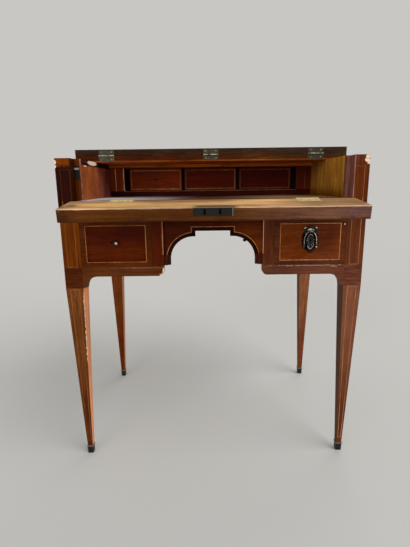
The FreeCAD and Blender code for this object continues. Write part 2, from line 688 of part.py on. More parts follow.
def build_lock(far, case_span, case_depth, case_height):
    """Link lock in the fall's far edge: face plate, case and sliding bolt."""
    plate = box(("lock_left", "lock_right"), (far, far + " + lock_plate_thickness"),
                ("-lock_plate_height", "0"), local=True)
    middle = "-lock_plate_height / 2"
    slots = []
    for slot in ("left_slot", "right_slot"):
        slots.append(box(("%s - slot_width / 2" % slot, "%s + slot_width / 2" % slot),
                         (far + " - side_gap", far + " + lock_plate_thickness + side_gap"),
                         (middle + " - slot_height / 2", middle + " + slot_height / 2"), local=True))
    open_fall(cut(plate, *slots), "lock_plate")
    shell = box(case_span, case_depth, case_height, local=True)
    hollow = box((case_span[0] + " + lock_case_wall", case_span[1] + " - lock_case_wall"),
                 (case_depth[0] + " - side_gap", case_depth[1] + " - lock_case_wall"),
                 (case_height[0] + " + lock_case_wall", case_height[1] + " - lock_case_wall"),
                 local=True)
    open_fall(cut(shell, hollow), "lock_case")
    thick = (middle + " - bolt_thickness / 2", middle + " + bolt_thickness / 2")
    rise = far + " + staple_reach - bolt_start"
    bar_low = far + " + lock_back - lock_case_wall - sliding_gap - bolt_bar"
    tail = "finger_gap + staple_width / 2"
    pieces = []
    for slot in ("left_slot", "right_slot"):
        tip = "%s + %s" % (slot, tail)
        root = tip + " + finger_length"
        pieces.append(box((tip, root), (rise, rise + " + bolt_bar"), thick, local=True))
        pieces.append(box((root, root + " + bolt_bar"), (rise, bar_low), thick, local=True))
    bar_end = "right_slot + %s + finger_length + bolt_bar" % tail
    bar_height = ("-lock_case_low + lock_case_wall + sliding_gap",
                  "-lock_case_high - lock_case_wall - sliding_gap")
    pieces.append(box(("left_slot - finger_length", bar_end), (bar_low, bar_low + " + bolt_bar"),
                      bar_height, local=True))
    open_fall(fuse(*pieces), "lock_bolt")


def drawer_box(middle, half, front_y, rear_y, low, high, side_thickness, floor):
    """Two sides and a back as separate solids, and the bottom board between them."""
    inner = ("%s - %s + %s" % (middle, half, side_thickness),
             "%s + %s - %s" % (middle, half, side_thickness))
    carcase = group(
        box(("%s - %s" % (middle, half), inner[0]), (front_y, rear_y), (low, high)),
        box((inner[1], "%s + %s" % (middle, half)), (front_y, rear_y), (low, high)),
        box(inner, ("%s - %s" % (rear_y, side_thickness), rear_y), (floor[1], high)))
    return carcase, box(inner, (front_y, rear_y), floor)


def build_drawers():
    """The two drawers beside the kneehole, one with a knob, one with a keyhole ornament."""
    for name, side in SIDES.items():
        middle = at_side(side, "drawer_middle")
        front = box(("%s - drawer_half" % middle, "%s + drawer_half" % middle),
                    ("0", "drawer_front_thickness"),
                    ("drawer_front_low", "drawer_front_high"))
        if name == "right":
            front = cut(front, keyhole(middle, ("-side_gap", "drawer_front_thickness + side_gap")))
        node(front, name + "_drawer_front")
        carcase, floor = drawer_box(middle, "drawer_box_half", "drawer_front_thickness",
                                    "drawer_rear", "drawer_side_low", "drawer_side_high",
                                    "drawer_side", ("drawer_floor_low", "drawer_floor_top"))
        node(carcase, name + "_drawer_carcase")
        node(floor, name + "_drawer_bottom")
    build_knob("-drawer_middle")
    build_ornament("drawer_middle")


def build_knob(x):
    """Small turned metal knob: rose, neck and round head."""
    z = "drawer_centre_z + knob_rise"
    rose = rod("y", "knob_rose", ("-knob_rose_thickness", "0"), x, z)
    neck = rod("y", "knob_neck", ("-knob_reach + knob_radius", "0"), x, z)
    head = ball("knob_radius", x, "-knob_reach + knob_radius", z)
    node(fuse(rose, neck, head), "left_drawer_knob")


def keyhole(x, depth):
    """Keyhole: a round hole with a slot below it."""
    height = "medallion_z + keyhole_rise"
    slot = box((x + " - keyhole_radius / 2", x + " + keyhole_radius / 2"), depth,
               (height + " - keyhole_slot", height))
    return fuse(rod("y", "keyhole_radius", depth, x, height), slot)


def oval(width, height, depth, x, z):
    """An upright oval plate between two places along Y."""
    outline = DOC.addObject("Part::Ellipse", "Oval")
    bind(outline, MajorRadius="(%s) / 2" % height, MinorRadius="(%s) / 2" % width)
    plate = DOC.addObject("Part::Extrusion", "OvalPlate")
    plate.Base = outline
    plate.DirMode = "Custom"
    plate.Dir = FreeCAD.Vector(0, 0, 1)
    plate.Solid = True
    bind(plate, LengthFwd="(%s) - (%s)" % (depth[1], depth[0]))
    turned = FreeCAD.Rotation(X_AXIS, -90).multiply(FreeCAD.Rotation(FreeCAD.Vector(0, 0, 1), 90))
    plate.Placement.Rotation = turned
    return put(plate, x, depth[0], z)


def build_ornament(x):
    """Keyhole ornament: oval medallion under a ribbon bow, framed by two hanging garlands."""
    z, front, wall = "medallion_z", "-bead_radius / 2", "0"
    medallion = oval("ornament_width", "ornament_height", ("-ornament_thickness", wall), x, z)
    ring = oval("ornament_width - 2 * ornament_rim", "ornament_height - 2 * ornament_rim",
                ("-ornament_thickness - side_gap", "-ornament_thickness + side_gap"), x, z)
    boss = oval("ornament_width - 4 * ornament_rim", "ornament_height - 4 * ornament_rim",
                ("-ornament_thickness - side_gap / 2", wall), x, z)
    plain = fuse(cut(medallion, ring), boss)
    pieces = [cut(plain, keyhole(x, ("-2 * ornament_thickness", "ornament_thickness")))]
    bow_z = z + " + bow_rise"
    pieces += [ball("bead_radius", x, front, bow_z + " - %d * bead_pitch" % bead)
               for bead in range(LINK_BEADS + 1)]
    for side in ("-", "+"):
        loop = DOC.addObject("Part::Torus", "Loop")
        bind(loop, Radius1="bow_loop", Radius2="bow_cord")
        loop.Placement.Rotation = FreeCAD.Rotation(X_AXIS, -90)
        pieces.append(put(loop, "%s %s bow_spread" % (x, side), "-bow_cord", bow_z))
        for bead in range(1, ARCH_BEADS):
            along = "garland_place * sin(%d * garland_angle)" % bead
            up = "%s + garland_spring + garland_arch * cos(%d * garland_angle)" % (z, bead)
            pieces.append(ball("bead_radius", "%s %s %s" % (x, side, along), front, up))
        hanging = "%s %s garland_place" % (x, side)
        pieces += [ball("bead_radius", hanging, front,
                        "%s + garland_spring - %d * bead_pitch" % (z, bead))
                   for bead in range(HANGING_BEADS + 1)]
        tassel = DOC.addObject("Part::Ellipsoid", "Tassel")
        bind(tassel, Radius1="tassel_length / 2", Radius2="bead_radius", Radius3="bead_radius")
        pieces.append(put(tassel, hanging, front,
                          z + " + garland_end - tassel_length / 2"))
    solid = fuse(*pieces)
    behind = box((x + " - ornament_height", x + " + ornament_height"),
                 (wall, "drawer_front_thickness"),
                 (z + " - ornament_height", z + " + ornament_height"))
    node(cut(solid, behind), "right_drawer_ornament")
    lock = box((x + " - drawer_lock_width / 2", x + " + drawer_lock_width / 2"),
               ("drawer_front_thickness", "drawer_front_thickness + drawer_lock_thickness"),
               (z + " - drawer_lock_height / 2", z + " + drawer_lock_height / 2"))
    inside = keyhole(x, ("drawer_front_thickness - side_gap",
                         "drawer_front_thickness + drawer_lock_thickness + side_gap"))
    node(cut(lock, inside), "right_drawer_lock")


def build_small_drawers():
    """Three small drawers behind the frame at the back of the bed."""
    places = {"left": "-small_pitch", "middle": "0", "right": "small_pitch"}
    for name, place in places.items():
        node(box(("%s - small_half" % place, "%s + small_half" % place),
                 ("small_front", "small_front + small_drawer_front"), ("small_low", "small_high")),
             name + "_small_drawer_front")
        low = "small_low"
        carcase, floor = drawer_box(place, "small_half", "small_front + small_drawer_front",
                                    "small_rear", low, "small_high - drawer_bottom_rise",
                                    "small_drawer_side",
                                    (low + " + side_gap", low + " + side_gap + small_drawer_bottom"))
        node(carcase, name + "_small_drawer_carcase")
        node(floor, name + "_small_drawer_bottom")


def check_and_write():
    """Stop if anything failed or is not sound, then write one file for each node."""
    DOC.recompute()
    for thing in DOC.Objects:
        if {"Invalid", "Error"} & set(thing.State):
            raise RuntimeError("%s (%s) failed: %s" % (thing.Name, thing.Label, thing.State))
    os.makedirs("parts", exist_ok=True)
    for piece in NODES:
        shape = piece.Shape
        if shape.isNull() or not shape.isValid() or not shape.Solids:
            raise RuntimeError("%s has no sound solid" % piece.Label)
        shape.exportStep(os.path.join("parts", piece.Label + ".step"))
    print("%d nodes, %d solids" % (len(NODES), sum(len(piece.Shape.Solids) for piece in NODES)))


def print_joints():
    """Print the joint places in metres, for the record."""
    front = SHEET.get("front_plane")
    hinge = (front - SHEET.get("bed_out"), SHEET.get("bed_top"))
    lid = (front + SHEET.get("lid_axis_y"), SHEET.get("lid_axis_z"))
    print("front plane %.3f, fall hinge y %.3f z %.3f, lid hinge y %.3f z %.3f"
          % ((front,) + hinge + lid))
    print("bed travel %.3f, bolt travel %.3f"
          % (SHEET.get("bed_travel"), SHEET.get("bolt_travel")))


fill_sheet()
build_legs()
build_case()
build_apron()
build_gradin()
build_top()
build_catch()
build_bed()
build_fall()
build_drawers()
build_small_drawers()
check_and_write()
print_joints()
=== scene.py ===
"""Looks of the small writing desk: woods, metals, inlaid lines and small metalwork.

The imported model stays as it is. Its boards get worn mahogany and bare woods, and its metalwork
brass and iron. The light inlaid lines, the arch's dark band with its loose splinter, the knob, the
keyhole ornament and the screws are added as pieces of their own.
"""
import logging
import math
from collections.abc import Iterable
from dataclasses import dataclass, field, replace
from enum import Enum
from functools import reduce

import bmesh
import bpy
import numpy as np
from mathutils import Matrix, Vector


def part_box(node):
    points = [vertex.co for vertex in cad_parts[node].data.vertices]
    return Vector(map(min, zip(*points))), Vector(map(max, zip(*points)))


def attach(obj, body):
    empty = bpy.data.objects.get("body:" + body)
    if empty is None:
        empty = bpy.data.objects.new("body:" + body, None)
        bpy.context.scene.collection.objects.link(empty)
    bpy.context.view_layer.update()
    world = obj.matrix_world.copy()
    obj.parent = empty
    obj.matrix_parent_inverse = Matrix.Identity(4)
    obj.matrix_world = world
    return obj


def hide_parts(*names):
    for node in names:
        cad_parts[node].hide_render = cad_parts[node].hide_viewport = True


Tree = bpy.types.NodeTree
Socket = bpy.types.NodeSocket

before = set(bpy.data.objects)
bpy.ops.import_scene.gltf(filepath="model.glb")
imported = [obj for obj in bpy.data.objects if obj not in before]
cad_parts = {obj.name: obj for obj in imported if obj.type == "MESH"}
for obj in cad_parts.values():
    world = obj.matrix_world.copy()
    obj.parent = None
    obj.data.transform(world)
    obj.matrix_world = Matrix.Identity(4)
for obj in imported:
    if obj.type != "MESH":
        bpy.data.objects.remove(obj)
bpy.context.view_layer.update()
LOG = logging.getLogger("writing_desk")
MM = 0.001
# A limit beyond the desk on every side, in millimetres.
FAR = 2000.0
X, Y, Z = (1.0, 0.0, 0.0), (0.0, 1.0, 0.0), (0.0, 0.0, 1.0)


def corner(node: str, which: int) -> np.ndarray:
    """Lowest (0) or highest (1) corner of a CAD node at rest, in millimetres."""
    return np.array(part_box(node)[which]) / MM


FRONT = corner("left_drawer_front", 0)[1]
BED_TOP = corner("writing_bed", 1)[2]
CASE_TOP = corner("left_side_panel", 1)[2]
CASE_BOTTOM = corner("left_side_panel", 0)[2]
KNEEHOLE = -corner("kneehole_apron", 0)[0]
# FACING_FRONT stands a flat drawing on a front face, and UPENDED lays a turned shape into it.
FACING_FRONT = np.array([[1.0, 0, 0], [0, 0, -1.0], [0, 1.0, 0]])
UPENDED = np.array([[1.0, 0, 0], [0, 0, 1.0], [0, 1.0, 0]])
FORWARD = np.array([0, -1.0, 0])
OUTWARD = np.array(Z)
LEG_SHOULDER = 521.5
POST_AXIS = 376.0
FALL_DROOP = math.radians(7.0)
# The lid's hinges turn in the middle of the half millimetre between its two boards.
LID_JOINT = corner("lid_leaf", 0)[2] - 0.25
# The fall turns a little ahead of the rail under the bed, level with the bed's top.
HINGE_AHEAD = 21.0
HINGE_LINE = (0.0, corner("front_top_rail", 0)[1] - HINGE_AHEAD, BED_TOP)


def linear(code: str) -> tuple[float, float, float, float]:
    """Turn an sRGB hex code into linear light.

    Args:
        code: six hex digits after a hash.

    Returns:
        Red, green, blue and an alpha of one.
    """
    channels = [int(code[start:start + 2], 16) / 255 for start in (1, 3, 5)]
    light = [c / 12.92 if c <= 0.04045 else ((c + 0.055) / 1.055) ** 2.4 for c in channels]
    return (light[0], light[1], light[2], 1.0)


def add(tree: Tree, kind: str, inputs: dict | None = None, **settings: object) -> bpy.types.Node:
    """Add a node with its settings and links.

    Args:
        tree: the node tree that gets the node.
        kind: the node's type, without the word ShaderNode at its head.
        inputs: values or sockets for the node's inputs, by name or by number.
        settings: attributes of the node.

    Returns:
        The new node.
    """
    node = tree.nodes.new("ShaderNode" + kind)
    for name, value in settings.items():
        setattr(node, name, value)
    for key, value in (inputs or {}).items():
        if isinstance(value, Socket):
            tree.links.new(value, node.inputs[key])
        else:
            node.inputs[key].default_value = value
    return node


def new_material(name: str) -> tuple[bpy.types.Material, Tree]:
    """Make an empty node material.

    Args:
        name: the material's name.

    Returns:
        The material and its tree.
    """
    material = bpy.data.materials.new(name)
    material.use_nodes = True
    material.node_tree.nodes.clear()
    return material, material.node_tree


def finish_tree(tree: Tree, shader: bpy.types.Node) -> None:
    """Send a shader to the material's output."""
    add(tree, "OutputMaterial", {"Surface": shader.outputs[0]})


@dataclass
class Paint:
    """Colour, roughness and surface height on their way to the shader."""

    colour: Socket
    roughness: Socket
    height: Socket


class Grain(Enum):
    """The way a board's fibres run, as stretches along X, Y and Z."""

    ACROSS = (1, 0, 0)
    DEEP = (0, 1, 0)
    UPRIGHT = (0, 0, 1)


@dataclass(frozen=True)
class Wood:
    """A board or a veneer: straight fibres, broad figure, open pores and an uneven old polish."""

    tone: str
    spread: float = 0.3
    grain: Grain = Grain.ACROSS
    figure_mm: float = 9.0
    fibre_mm: float = 1.1
    stretch: float = 14.0
    roughness: float = 0.45
    gloss: float = 0.03
    pores: float = 0.35
    patina: float = 0.2
    seed: float = 0.0
    fibre_share: float = 0.55
    cloud_mm: float = 70.0
    pore_mm: float = 0.7

    def toned(self, tone: str, **changes: object) -> "Wood":
        """The same wood in another tone, perhaps with other changes."""
        return replace(self, tone=tone, **changes)

    def shade(self, share: float) -> tuple[float, float, float, float]:
        """The tone in linear light, made darker or, a little yellower, lighter by a share."""
        red, green, blue, alpha = linear(self.tone)
        return (red * (1 + 0.9 * share), green * (1 + 1.15 * share), blue * (1 + share), alpha)

    def stretched(self, tree: Tree, place: Socket, width: float, stretch: float) -> Socket:
        """Measure a place in widths across the fibres and in longer runs along them.

        Args:
            tree: the material's tree.
            place: object coordinates, in metres.
            width: the pattern's width across the fibres, in millimetres.
            stretch: its length over its width.

        Returns:
            The stretched coordinates.
        """
        scale = [1 / (width * MM * (stretch if along else 1.0)) for along in self.grain.value]
        mapping = add(tree, "Mapping",
                      {"Vector": place, "Scale": scale, "Location": (self.seed, self.seed * 2, 0)})
        return mapping.outputs[0]

    def paint(self, tree: Tree, place: Socket) -> Paint:
        """Work out the wood's colour, roughness and height at each point.

        Args:
            tree: the material's tree.
            place: object coordinates, in metres.

        Returns:
            The wood's paint.
        """
        figure, fibre, cloud, pore = (
            add(tree, "TexNoise", {"Vector": self.stretched(tree, place, width, stretch),
                                   "Scale": 1.0, "Detail": detail, "Roughness": rough,
                                   "Distortion": bend})
            for width, stretch, detail, rough, bend in (
                (self.figure_mm, self.stretch, 3.0, 0.55, 0.7),
                (self.fibre_mm, self.stretch * 2.5, 2.0, 0.6, 0.0),
                (self.cloud_mm, 1.6, 3.0, 0.5, 0.0),
                (self.pore_mm, 16.0, 1.0, 0.5, 0.0)))
        drift = add(tree, "Math", {0: fibre.outputs["Fac"], 1: -0.5}, operation="ADD")
        blend = add(tree, "Math",
                    {0: drift.outputs[0], 1: self.fibre_share, 2: figure.outputs["Fac"]},
                    operation="MULTIPLY_ADD")
        ramp = add(tree, "ValToRGB", {"Fac": blend.outputs[0]})
        first, last = ramp.color_ramp.elements
        first.position, first.color = 0.3, self.shade(-self.spread)
        last.position, last.color = 0.7, self.shade(self.spread)
        middle = ramp.color_ramp.elements.new(0.5)
        middle.color = self.shade(0.0)
        shade = add(tree, "MapRange",
                    {"Value": cloud.outputs["Fac"], "From Min": 0.3, "From Max": 0.7,
                     "To Min": 1.0 - self.patina, "To Max": 1.0 + self.patina})
        pits = add(tree, "MapRange",
                   {"Value": pore.outputs["Fac"], "From Min": 0.3, "From Max": 0.42,
                    "To Min": 1.0 - self.pores, "To Max": 1.0})
        tone = add(tree, "Math", {0: shade.outputs[0], 1: pits.outputs[0]}, operation="MULTIPLY")
        colour = add(tree, "VectorMath",
                     {0: ramp.outputs["Color"], "Scale": tone.outputs[0]}, operation="SCALE")
        rough = add(tree, "MapRange",
                    {"Value": cloud.outputs["Fac"], "From Min": 0.3, "From Max": 0.7,
                     "To Min": self.roughness - 0.07, "To Max": self.roughness + 0.09})
        height = add(tree, "Math",
                     {0: fibre.outputs["Fac"], 1: 0.35, 2: pits.outputs[0]},
                     operation="MULTIPLY_ADD")
        return Paint(colour.outputs[0], rough.outputs[0], height.outputs[0])


@dataclass(frozen=True)
class Slab:
    """The points whose distance along a direction lies between two limits, in millimetres."""

    normal: tuple[float, float, float]
    low: float = -FAR
    high: float = FAR
    soft: float = 0.4

    def mask(self, tree: Tree, place: Socket, shift: Socket | None) -> Socket:
        """Mark the slab: one inside, nought outside, with a soft and perhaps ragged limit.

        Args:
            tree: the material's tree.
            place: object coordinates, in metres.
            shift: noise in metres that moves the limits, or None.

        Returns:
            The mask.
        """
        length = math.hypot(*self.normal)
        along = add(tree, "VectorMath",
                    {0: place, 1: [n / length for n in self.normal]}, operation="DOT_PRODUCT")
        value = along.outputs["Value"]
        if shift is not None:
            value = add(tree, "Math", {0: value, 1: shift}, operation="ADD").outputs[0]
        soft = self.soft * MM
        rise = add(tree, "MapRange",
                   {"Value": value, "From Min": self.low * MM - soft,
                    "From Max": self.low * MM + soft}, interpolation_type="SMOOTHSTEP")
        fall = add(tree, "MapRange",
                   {"Value": value, "From Min": self.high * MM - soft,
                    "From Max": self.high * MM + soft, "To Min": 1.0, "To Max": 0.0},
                   interpolation_type="SMOOTHSTEP")
        both = add(tree, "Math", {0: rise.outputs[0], 1: fall.outputs[0]}, operation="MULTIPLY")
        return both.outputs[0]


@dataclass(frozen=True)
class Zone:
    """A part of a piece with its own wood: the points inside all its slabs."""

    slabs: tuple[Slab, ...]
    wood: Wood
    ragged_mm: float = 0.0
    ragged_size_mm: float = 6.0
    amount: float = 1.0

    def mask(self, tree: Tree, place: Socket) -> Socket:
        """Multiply the slabs' masks, their limits moved by noise where the zone is ragged.

        Args:
            tree: the material's tree.
            place: object coordinates, in metres.

        Returns:
            The mask, times the zone's amount.
        """
        shift = None
        if self.ragged_mm:
            noise = add(tree, "TexNoise",
                        {"Vector": place, "Scale": 1 / (self.ragged_size_mm * MM), "Detail": 3.0})
            shift = add(tree, "MapRange",
                        {"Value": noise.outputs["Fac"], "From Min": 0.25, "From Max": 0.75,
                         "To Min": -self.ragged_mm * MM, "To Max": self.ragged_mm * MM}).outputs[0]
        value = self.slabs[0].mask(tree, place, shift)
        for slab in self.slabs[1:]:
            value = add(tree, "Math", {0: value, 1: slab.mask(tree, place, shift)},
                        operation="MULTIPLY").outputs[0]
        if self.amount < 1:
            value = add(tree, "Math", {0: value, 1: self.amount}, operation="MULTIPLY").outputs[0]
        return value


# Noise per metre: the tears of a spot are about 4 mm across, the pits of metal about 1 mm.
TEARS = 260.0
PITS = 900.0
# Fresh breaks in the veneer show its pale, dry ground.
CHIP_WOOD = Wood("#e2c9b4", 0.25, figure_mm=3, roughness=0.8, gloss=0.1, pores=0.2)


@dataclass(frozen=True)
class Spot:
    """A ragged spot of another surface: bare wood where veneer broke off, or grime."""

    centre: tuple[float, float, float]
    reach: tuple[float, float, float]
    wood: Wood = CHIP_WOOD
    raggedness: float = 1.5
    soft: float = 0.04

    def mask(self, tree: Tree, place: Socket) -> Socket:
        """Mark where the noisy distance from the middle, counted in reaches, is under one.

        Args:
            tree: the material's tree.
            place: object coordinates, in metres.

        Returns:
            The mask.
        """
        moved = add(tree, "VectorMath",
                    {0: place, 1: [c * MM for c in self.centre]}, operation="SUBTRACT")
        shares = add(tree, "VectorMath",
                     {0: moved.outputs[0], 1: [1 / (r * MM) for r in self.reach]},
                     operation="MULTIPLY")
        length = add(tree, "VectorMath", {0: shares.outputs[0]}, operation="LENGTH")
        noise = add(tree, "TexNoise", {"Vector": place, "Scale": TEARS, "Detail": 3.0})
        rough = add(tree, "Math",
                    {0: noise.outputs["Fac"], 1: self.raggedness, 2: length.outputs["Value"]},
                    operation="MULTIPLY_ADD")
        # The noise averages about 0.45, so that a spot keeps its reach.
        limit = 1.0 + self.raggedness * 0.45
        inside = add(tree, "MapRange",
                     {"Value": rough.outputs[0], "From Min": limit - self.soft,
                      "From Max": limit + self.soft, "To Min": 1.0, "To Max": 0.0})
        return inside.outputs[0]


def mix_paint(tree: Tree, base: Paint, over: Paint, mask: Socket) -> Paint:
    """Lay one paint over another where a mask is one.

    Args:
        tree: the material's tree.
        base: the paint below.
        over: the paint above.
        mask: how far the upper one covers, from nought to one.

    Returns:
        The mixed paint.
    """
    mixed = []
    for under, upper in ((base.roughness, over.roughness), (base.height, over.height)):
        node = add(tree, "Mix", {0: mask, 2: under, 3: upper}, data_type="FLOAT")
        mixed.append(node.outputs[0])
    colour = add(tree, "Mix", {0: mask, 6: base.colour, 7: over.colour}, data_type="RGBA")
    return Paint(colour.outputs[2], mixed[0], mixed[1])


@dataclass(frozen=True)
class Board:
    """A piece's wooden finish: a wood, zones of other woods, and spots."""

    name: str
    wood: Wood
    zones: tuple[Zone, ...] = ()
    spots: tuple[Spot, ...] = ()

    def build(self) -> bpy.types.Material:
        """French-polished or bare wood as one principled shader.

        Returns:
            The material.
        """
        material, tree = new_material(self.name)
        place = add(tree, "TexCoord").outputs["Object"]
        paint = self.wood.paint(tree, place)
        for layer in self.zones + self.spots:
            paint = mix_paint(tree, paint, layer.wood.paint(tree, place), layer.mask(tree, place))
        bump = add(tree, "Bump", {"Height": paint.height, "Strength": 0.25, "Distance": 0.0003})
        shader = add(tree, "BsdfPrincipled",
                     {"Base Color": paint.colour, "Roughness": paint.roughness,
                      "Normal": bump.outputs[0], "Specular IOR Level": self.wood.gloss})
        finish_tree(tree, shader)
        return material


@dataclass(frozen=True)
class Metal:
    """Old metal: tarnished and dirty, bright where it is rubbed and where a highlight is painted.
    """

    name: str
    bright: str
    dull: str
    metallic: float = 0.5
    roughness: float = 0.45
    spot_mm: float = 4.0
    share: float = 0.5
    # Slabs of rubbed wear and of painted highlights, in the tone below.
    rubbed: tuple[Slab, ...] = ()
    wear_and_highlight_tone: str = "#d8d4c4"
    patch_mm: float = 0.0

    def build(self) -> bpy.types.Material:
        """Metal with tarnish in clouds, fine pitting, and rubbed parts and painted highlights where
        they are given.

        Returns:
            The material.
        """
        material, tree = new_material(self.name)
        place = add(tree, "TexCoord").outputs["Object"]
        tarnish = add(tree, "TexNoise",
                      {"Vector": place, "Scale": 1 / (self.spot_mm * MM), "Detail": 4.0,
                       "Roughness": 0.6})
        ramp = add(tree, "ValToRGB", {"Fac": tarnish.outputs["Fac"]})
        first, last = ramp.color_ramp.elements
        first.position, first.color = self.share - 0.14, linear(self.dull)
        last.position, last.color = self.share + 0.14, linear(self.bright)
        colour = ramp.outputs["Color"]
        for slab in self.rubbed:
            mask = slab.mask(tree, place, None)
            if self.patch_mm:
                patch = add(tree, "TexNoise",
                            {"Vector": place, "Scale": 1 / (self.patch_mm * MM), "Detail": 2.0})
                kept = add(tree, "MapRange",
                           {"Value": patch.outputs["Fac"], "From Min": 0.4, "From Max": 0.54})
                mask = add(tree, "Math", {0: mask, 1: kept.outputs[0]},
                           operation="MULTIPLY").outputs[0]
            mixed = add(tree, "Mix", {0: mask, 6: colour, 7: linear(self.wear_and_highlight_tone)},
                        data_type="RGBA")
            colour = mixed.outputs[2]
        rough = add(tree, "MapRange",
                    {"Value": tarnish.outputs["Fac"], "From Min": 0.3, "From Max": 0.7,
                     "To Min": self.roughness + 0.15, "To Max": self.roughness - 0.1})
        pits = add(tree, "TexNoise", {"Vector": place, "Scale": PITS, "Detail": 2.0})
        bump = add(tree, "Bump",
                   {"Height": pits.outputs["Fac"], "Strength": 0.3, "Distance": 0.0002})
        shader = add(tree, "BsdfPrincipled",
                     {"Base Color": colour, "Metallic": self.metallic,
                      "Roughness": rough.outputs[0], "Normal": bump.outputs[0]})
        finish_tree(tree, shader)
        return material


@dataclass
class Shell:
    """Vertices in millimetres and faces of one or more closed surfaces."""

    vertices: np.ndarray = field(default_factory=lambda: np.zeros((0, 3)))
    faces: list = field(default_factory=list)

    def join(self, other: "Shell") -> "Shell":
        """Put another shell's vertices and faces after this one's.

        Args:
            other: the other shell.

        Returns:
            Both in one shell.
        """
        start = len(self.vertices)
        moved = [[index + start for index in face] for face in other.faces]
        return Shell(np.vstack([self.vertices, other.vertices]), self.faces + moved)

    def placed(self, origin: np.ndarray, along: np.ndarray | None = None) -> "Shell":
        """Turn the shell by a 3 by 3 matrix and move it."""
        points = self.vertices if along is None else self.vertices @ along.T
        return Shell(points + origin, self.faces)


def joined(shells: Iterable[Shell]) -> Shell:
    """One shell of several, in their order."""
    return reduce(Shell.join, shells, Shell())


def grid_faces(rows: int, columns: int, wrap_rows: bool, wrap_columns: bool) -> list:
    """Join the neighbours of a grid of vertices with quads.

    Args:
        rows: rows of vertices.
        columns: vertices in a row.
        wrap_rows: whether the last row joins the first.
        wrap_columns: whether a row's last vertex joins its first.

    Returns:
        The faces, each a list of four indices.
    """
    row = np.arange(rows if wrap_rows else rows - 1)
    column = np.arange(columns if wrap_columns else columns - 1)
    i, j = np.meshgrid(row, column, indexing="ij")
    near, far = (i + 1) % rows, (j + 1) % columns
    quads = np.stack([i * columns + j, near * columns + j, near * columns + far,
                      i * columns + far], axis=-1)
    return quads.reshape(-1, 4).tolist()


def sweep(path: np.ndarray, normal: np.ndarray, profile: np.ndarray, closed: bool) -> Shell:
    """Carry a flat profile along straight runs in one plane.

    At each corner the profile stands on the bisector of the two runs, and its distance across
    is divided by the cosine of half the turn, so that both runs keep their width.

    Args:
        path: corners of the path, one row each.
        normal: unit normal of the plane, the profile's outward direction.
        profile: distances across and outwards of the profile's corners.
        closed: whether the path comes back to its start.

    Returns:
        The swept shell, capped where the path is open.
    """
    ahead = np.roll(path, -1, axis=0) - path
    behind = path - np.roll(path, 1, axis=0)
    if not closed:
        ahead[-1], behind[0] = behind[-1], ahead[0]
    ahead = ahead / np.linalg.norm(ahead, axis=1, keepdims=True)
    behind = behind / np.linalg.norm(behind, axis=1, keepdims=True)
    side = np.cross(normal, ahead)
    mitre = side + np.cross(normal, behind)
    mitre = mitre / np.linalg.norm(mitre, axis=1, keepdims=True)
    mitre = mitre / np.sum(mitre * side, axis=1, keepdims=True)
    rings = (path[:, None, :] + profile[None, :, 0, None] * mitre[:, None, :]
             + profile[None, :, 1, None] * normal)
    count = len(profile)
    faces = grid_faces(len(path), count, closed, True)
    if not closed:
        last = (len(path) - 1) * count
        faces += [list(range(count))[::-1], list(range(last, last + count))]
    return Shell(rings.reshape(-1, 3), faces)


def tube(path: np.ndarray, radii: np.ndarray, normal: np.ndarray, closed: bool,
         flat: float = 1.0, steps: int = 10) -> Shell:
    """Carry a round or oval section along a path.

    A point is the path's point, plus the radius times the cosine of the angle across the path
    and, times the flatness, its sine outwards.

    Args:
        path: points of the path.
        radii: radius at each point.
        normal: the outward direction.
        closed: whether the path comes back to its start.
        flat: height of the section over its width.
        steps: points round the section.

    Returns:
        The tube.
    """
    if closed:
        ahead = np.roll(path, -1, axis=0) - np.roll(path, 1, axis=0)
    else:
        ahead = np.gradient(path, axis=0)
    ahead = ahead / np.linalg.norm(ahead, axis=1, keepdims=True)
    side = np.cross(normal, ahead)
    side = side / np.linalg.norm(side, axis=1, keepdims=True)
    angle = np.linspace(0, 2 * np.pi, steps, endpoint=False)
    rings = (path[:, None, :]
             + radii[:, None, None] * np.cos(angle)[None, :, None] * side[:, None, :]
             + radii[:, None, None] * flat * np.sin(angle)[None, :, None] * normal)
    faces = grid_faces(len(path), steps, closed, True)
    return Shell(rings.reshape(-1, 3), faces)


def turned(profile: np.ndarray, steps: int = 32) -> Shell:
    """Turn a profile about the Z axis: a point is radius times cosine and sine, and height.

    Args:
        profile: radius and height of each point, from pole to pole.
        steps: points round the axis.

    Returns:
        The turned shell.
    """
    angle = np.linspace(0, 2 * np.pi, steps, endpoint=False)
    ring = np.stack([np.cos(angle), np.sin(angle), np.zeros(steps)], axis=-1)
    points = profile[:, None, 0, None] * ring[None] + profile[:, None, 1, None] * OUTWARD
    return Shell(points.reshape(-1, 3), grid_faces(len(profile), steps, False, True))


def make_piece(name: str, shell: Shell, material: bpy.types.Material, body: str,
               smooth: bool = False) -> bpy.types.Object:
    """Put a shell into a mesh object that rides on a body.

    Args:
        name: the piece's name.
        shell: its vertices, in millimetres, and faces.
        material: its finish.
        body: the CAD body that it moves with.
        smooth: whether its faces are shaded smooth.

    Returns:
        The object.
    """
    mesh = bpy.data.meshes.new(name)
    mesh.from_pydata((shell.vertices * MM).tolist(), [], shell.faces)
    work = bmesh.new()
    work.from_mesh(mesh)
    bmesh.ops.remove_doubles(work, verts=work.verts, dist=1e-6)
    bmesh.ops.recalc_face_normals(work, faces=work.faces)
    work.to_mesh(mesh)
    work.free()
    mesh.polygons.foreach_set("use_smooth", np.full(len(mesh.polygons), smooth))
    mesh.materials.append(material)
    piece = bpy.data.objects.new(name, mesh)
    bpy.context.collection.objects.link(piece)
    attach(piece, body)
    LOG.info("%s rides on %s", name, body)
    return piece


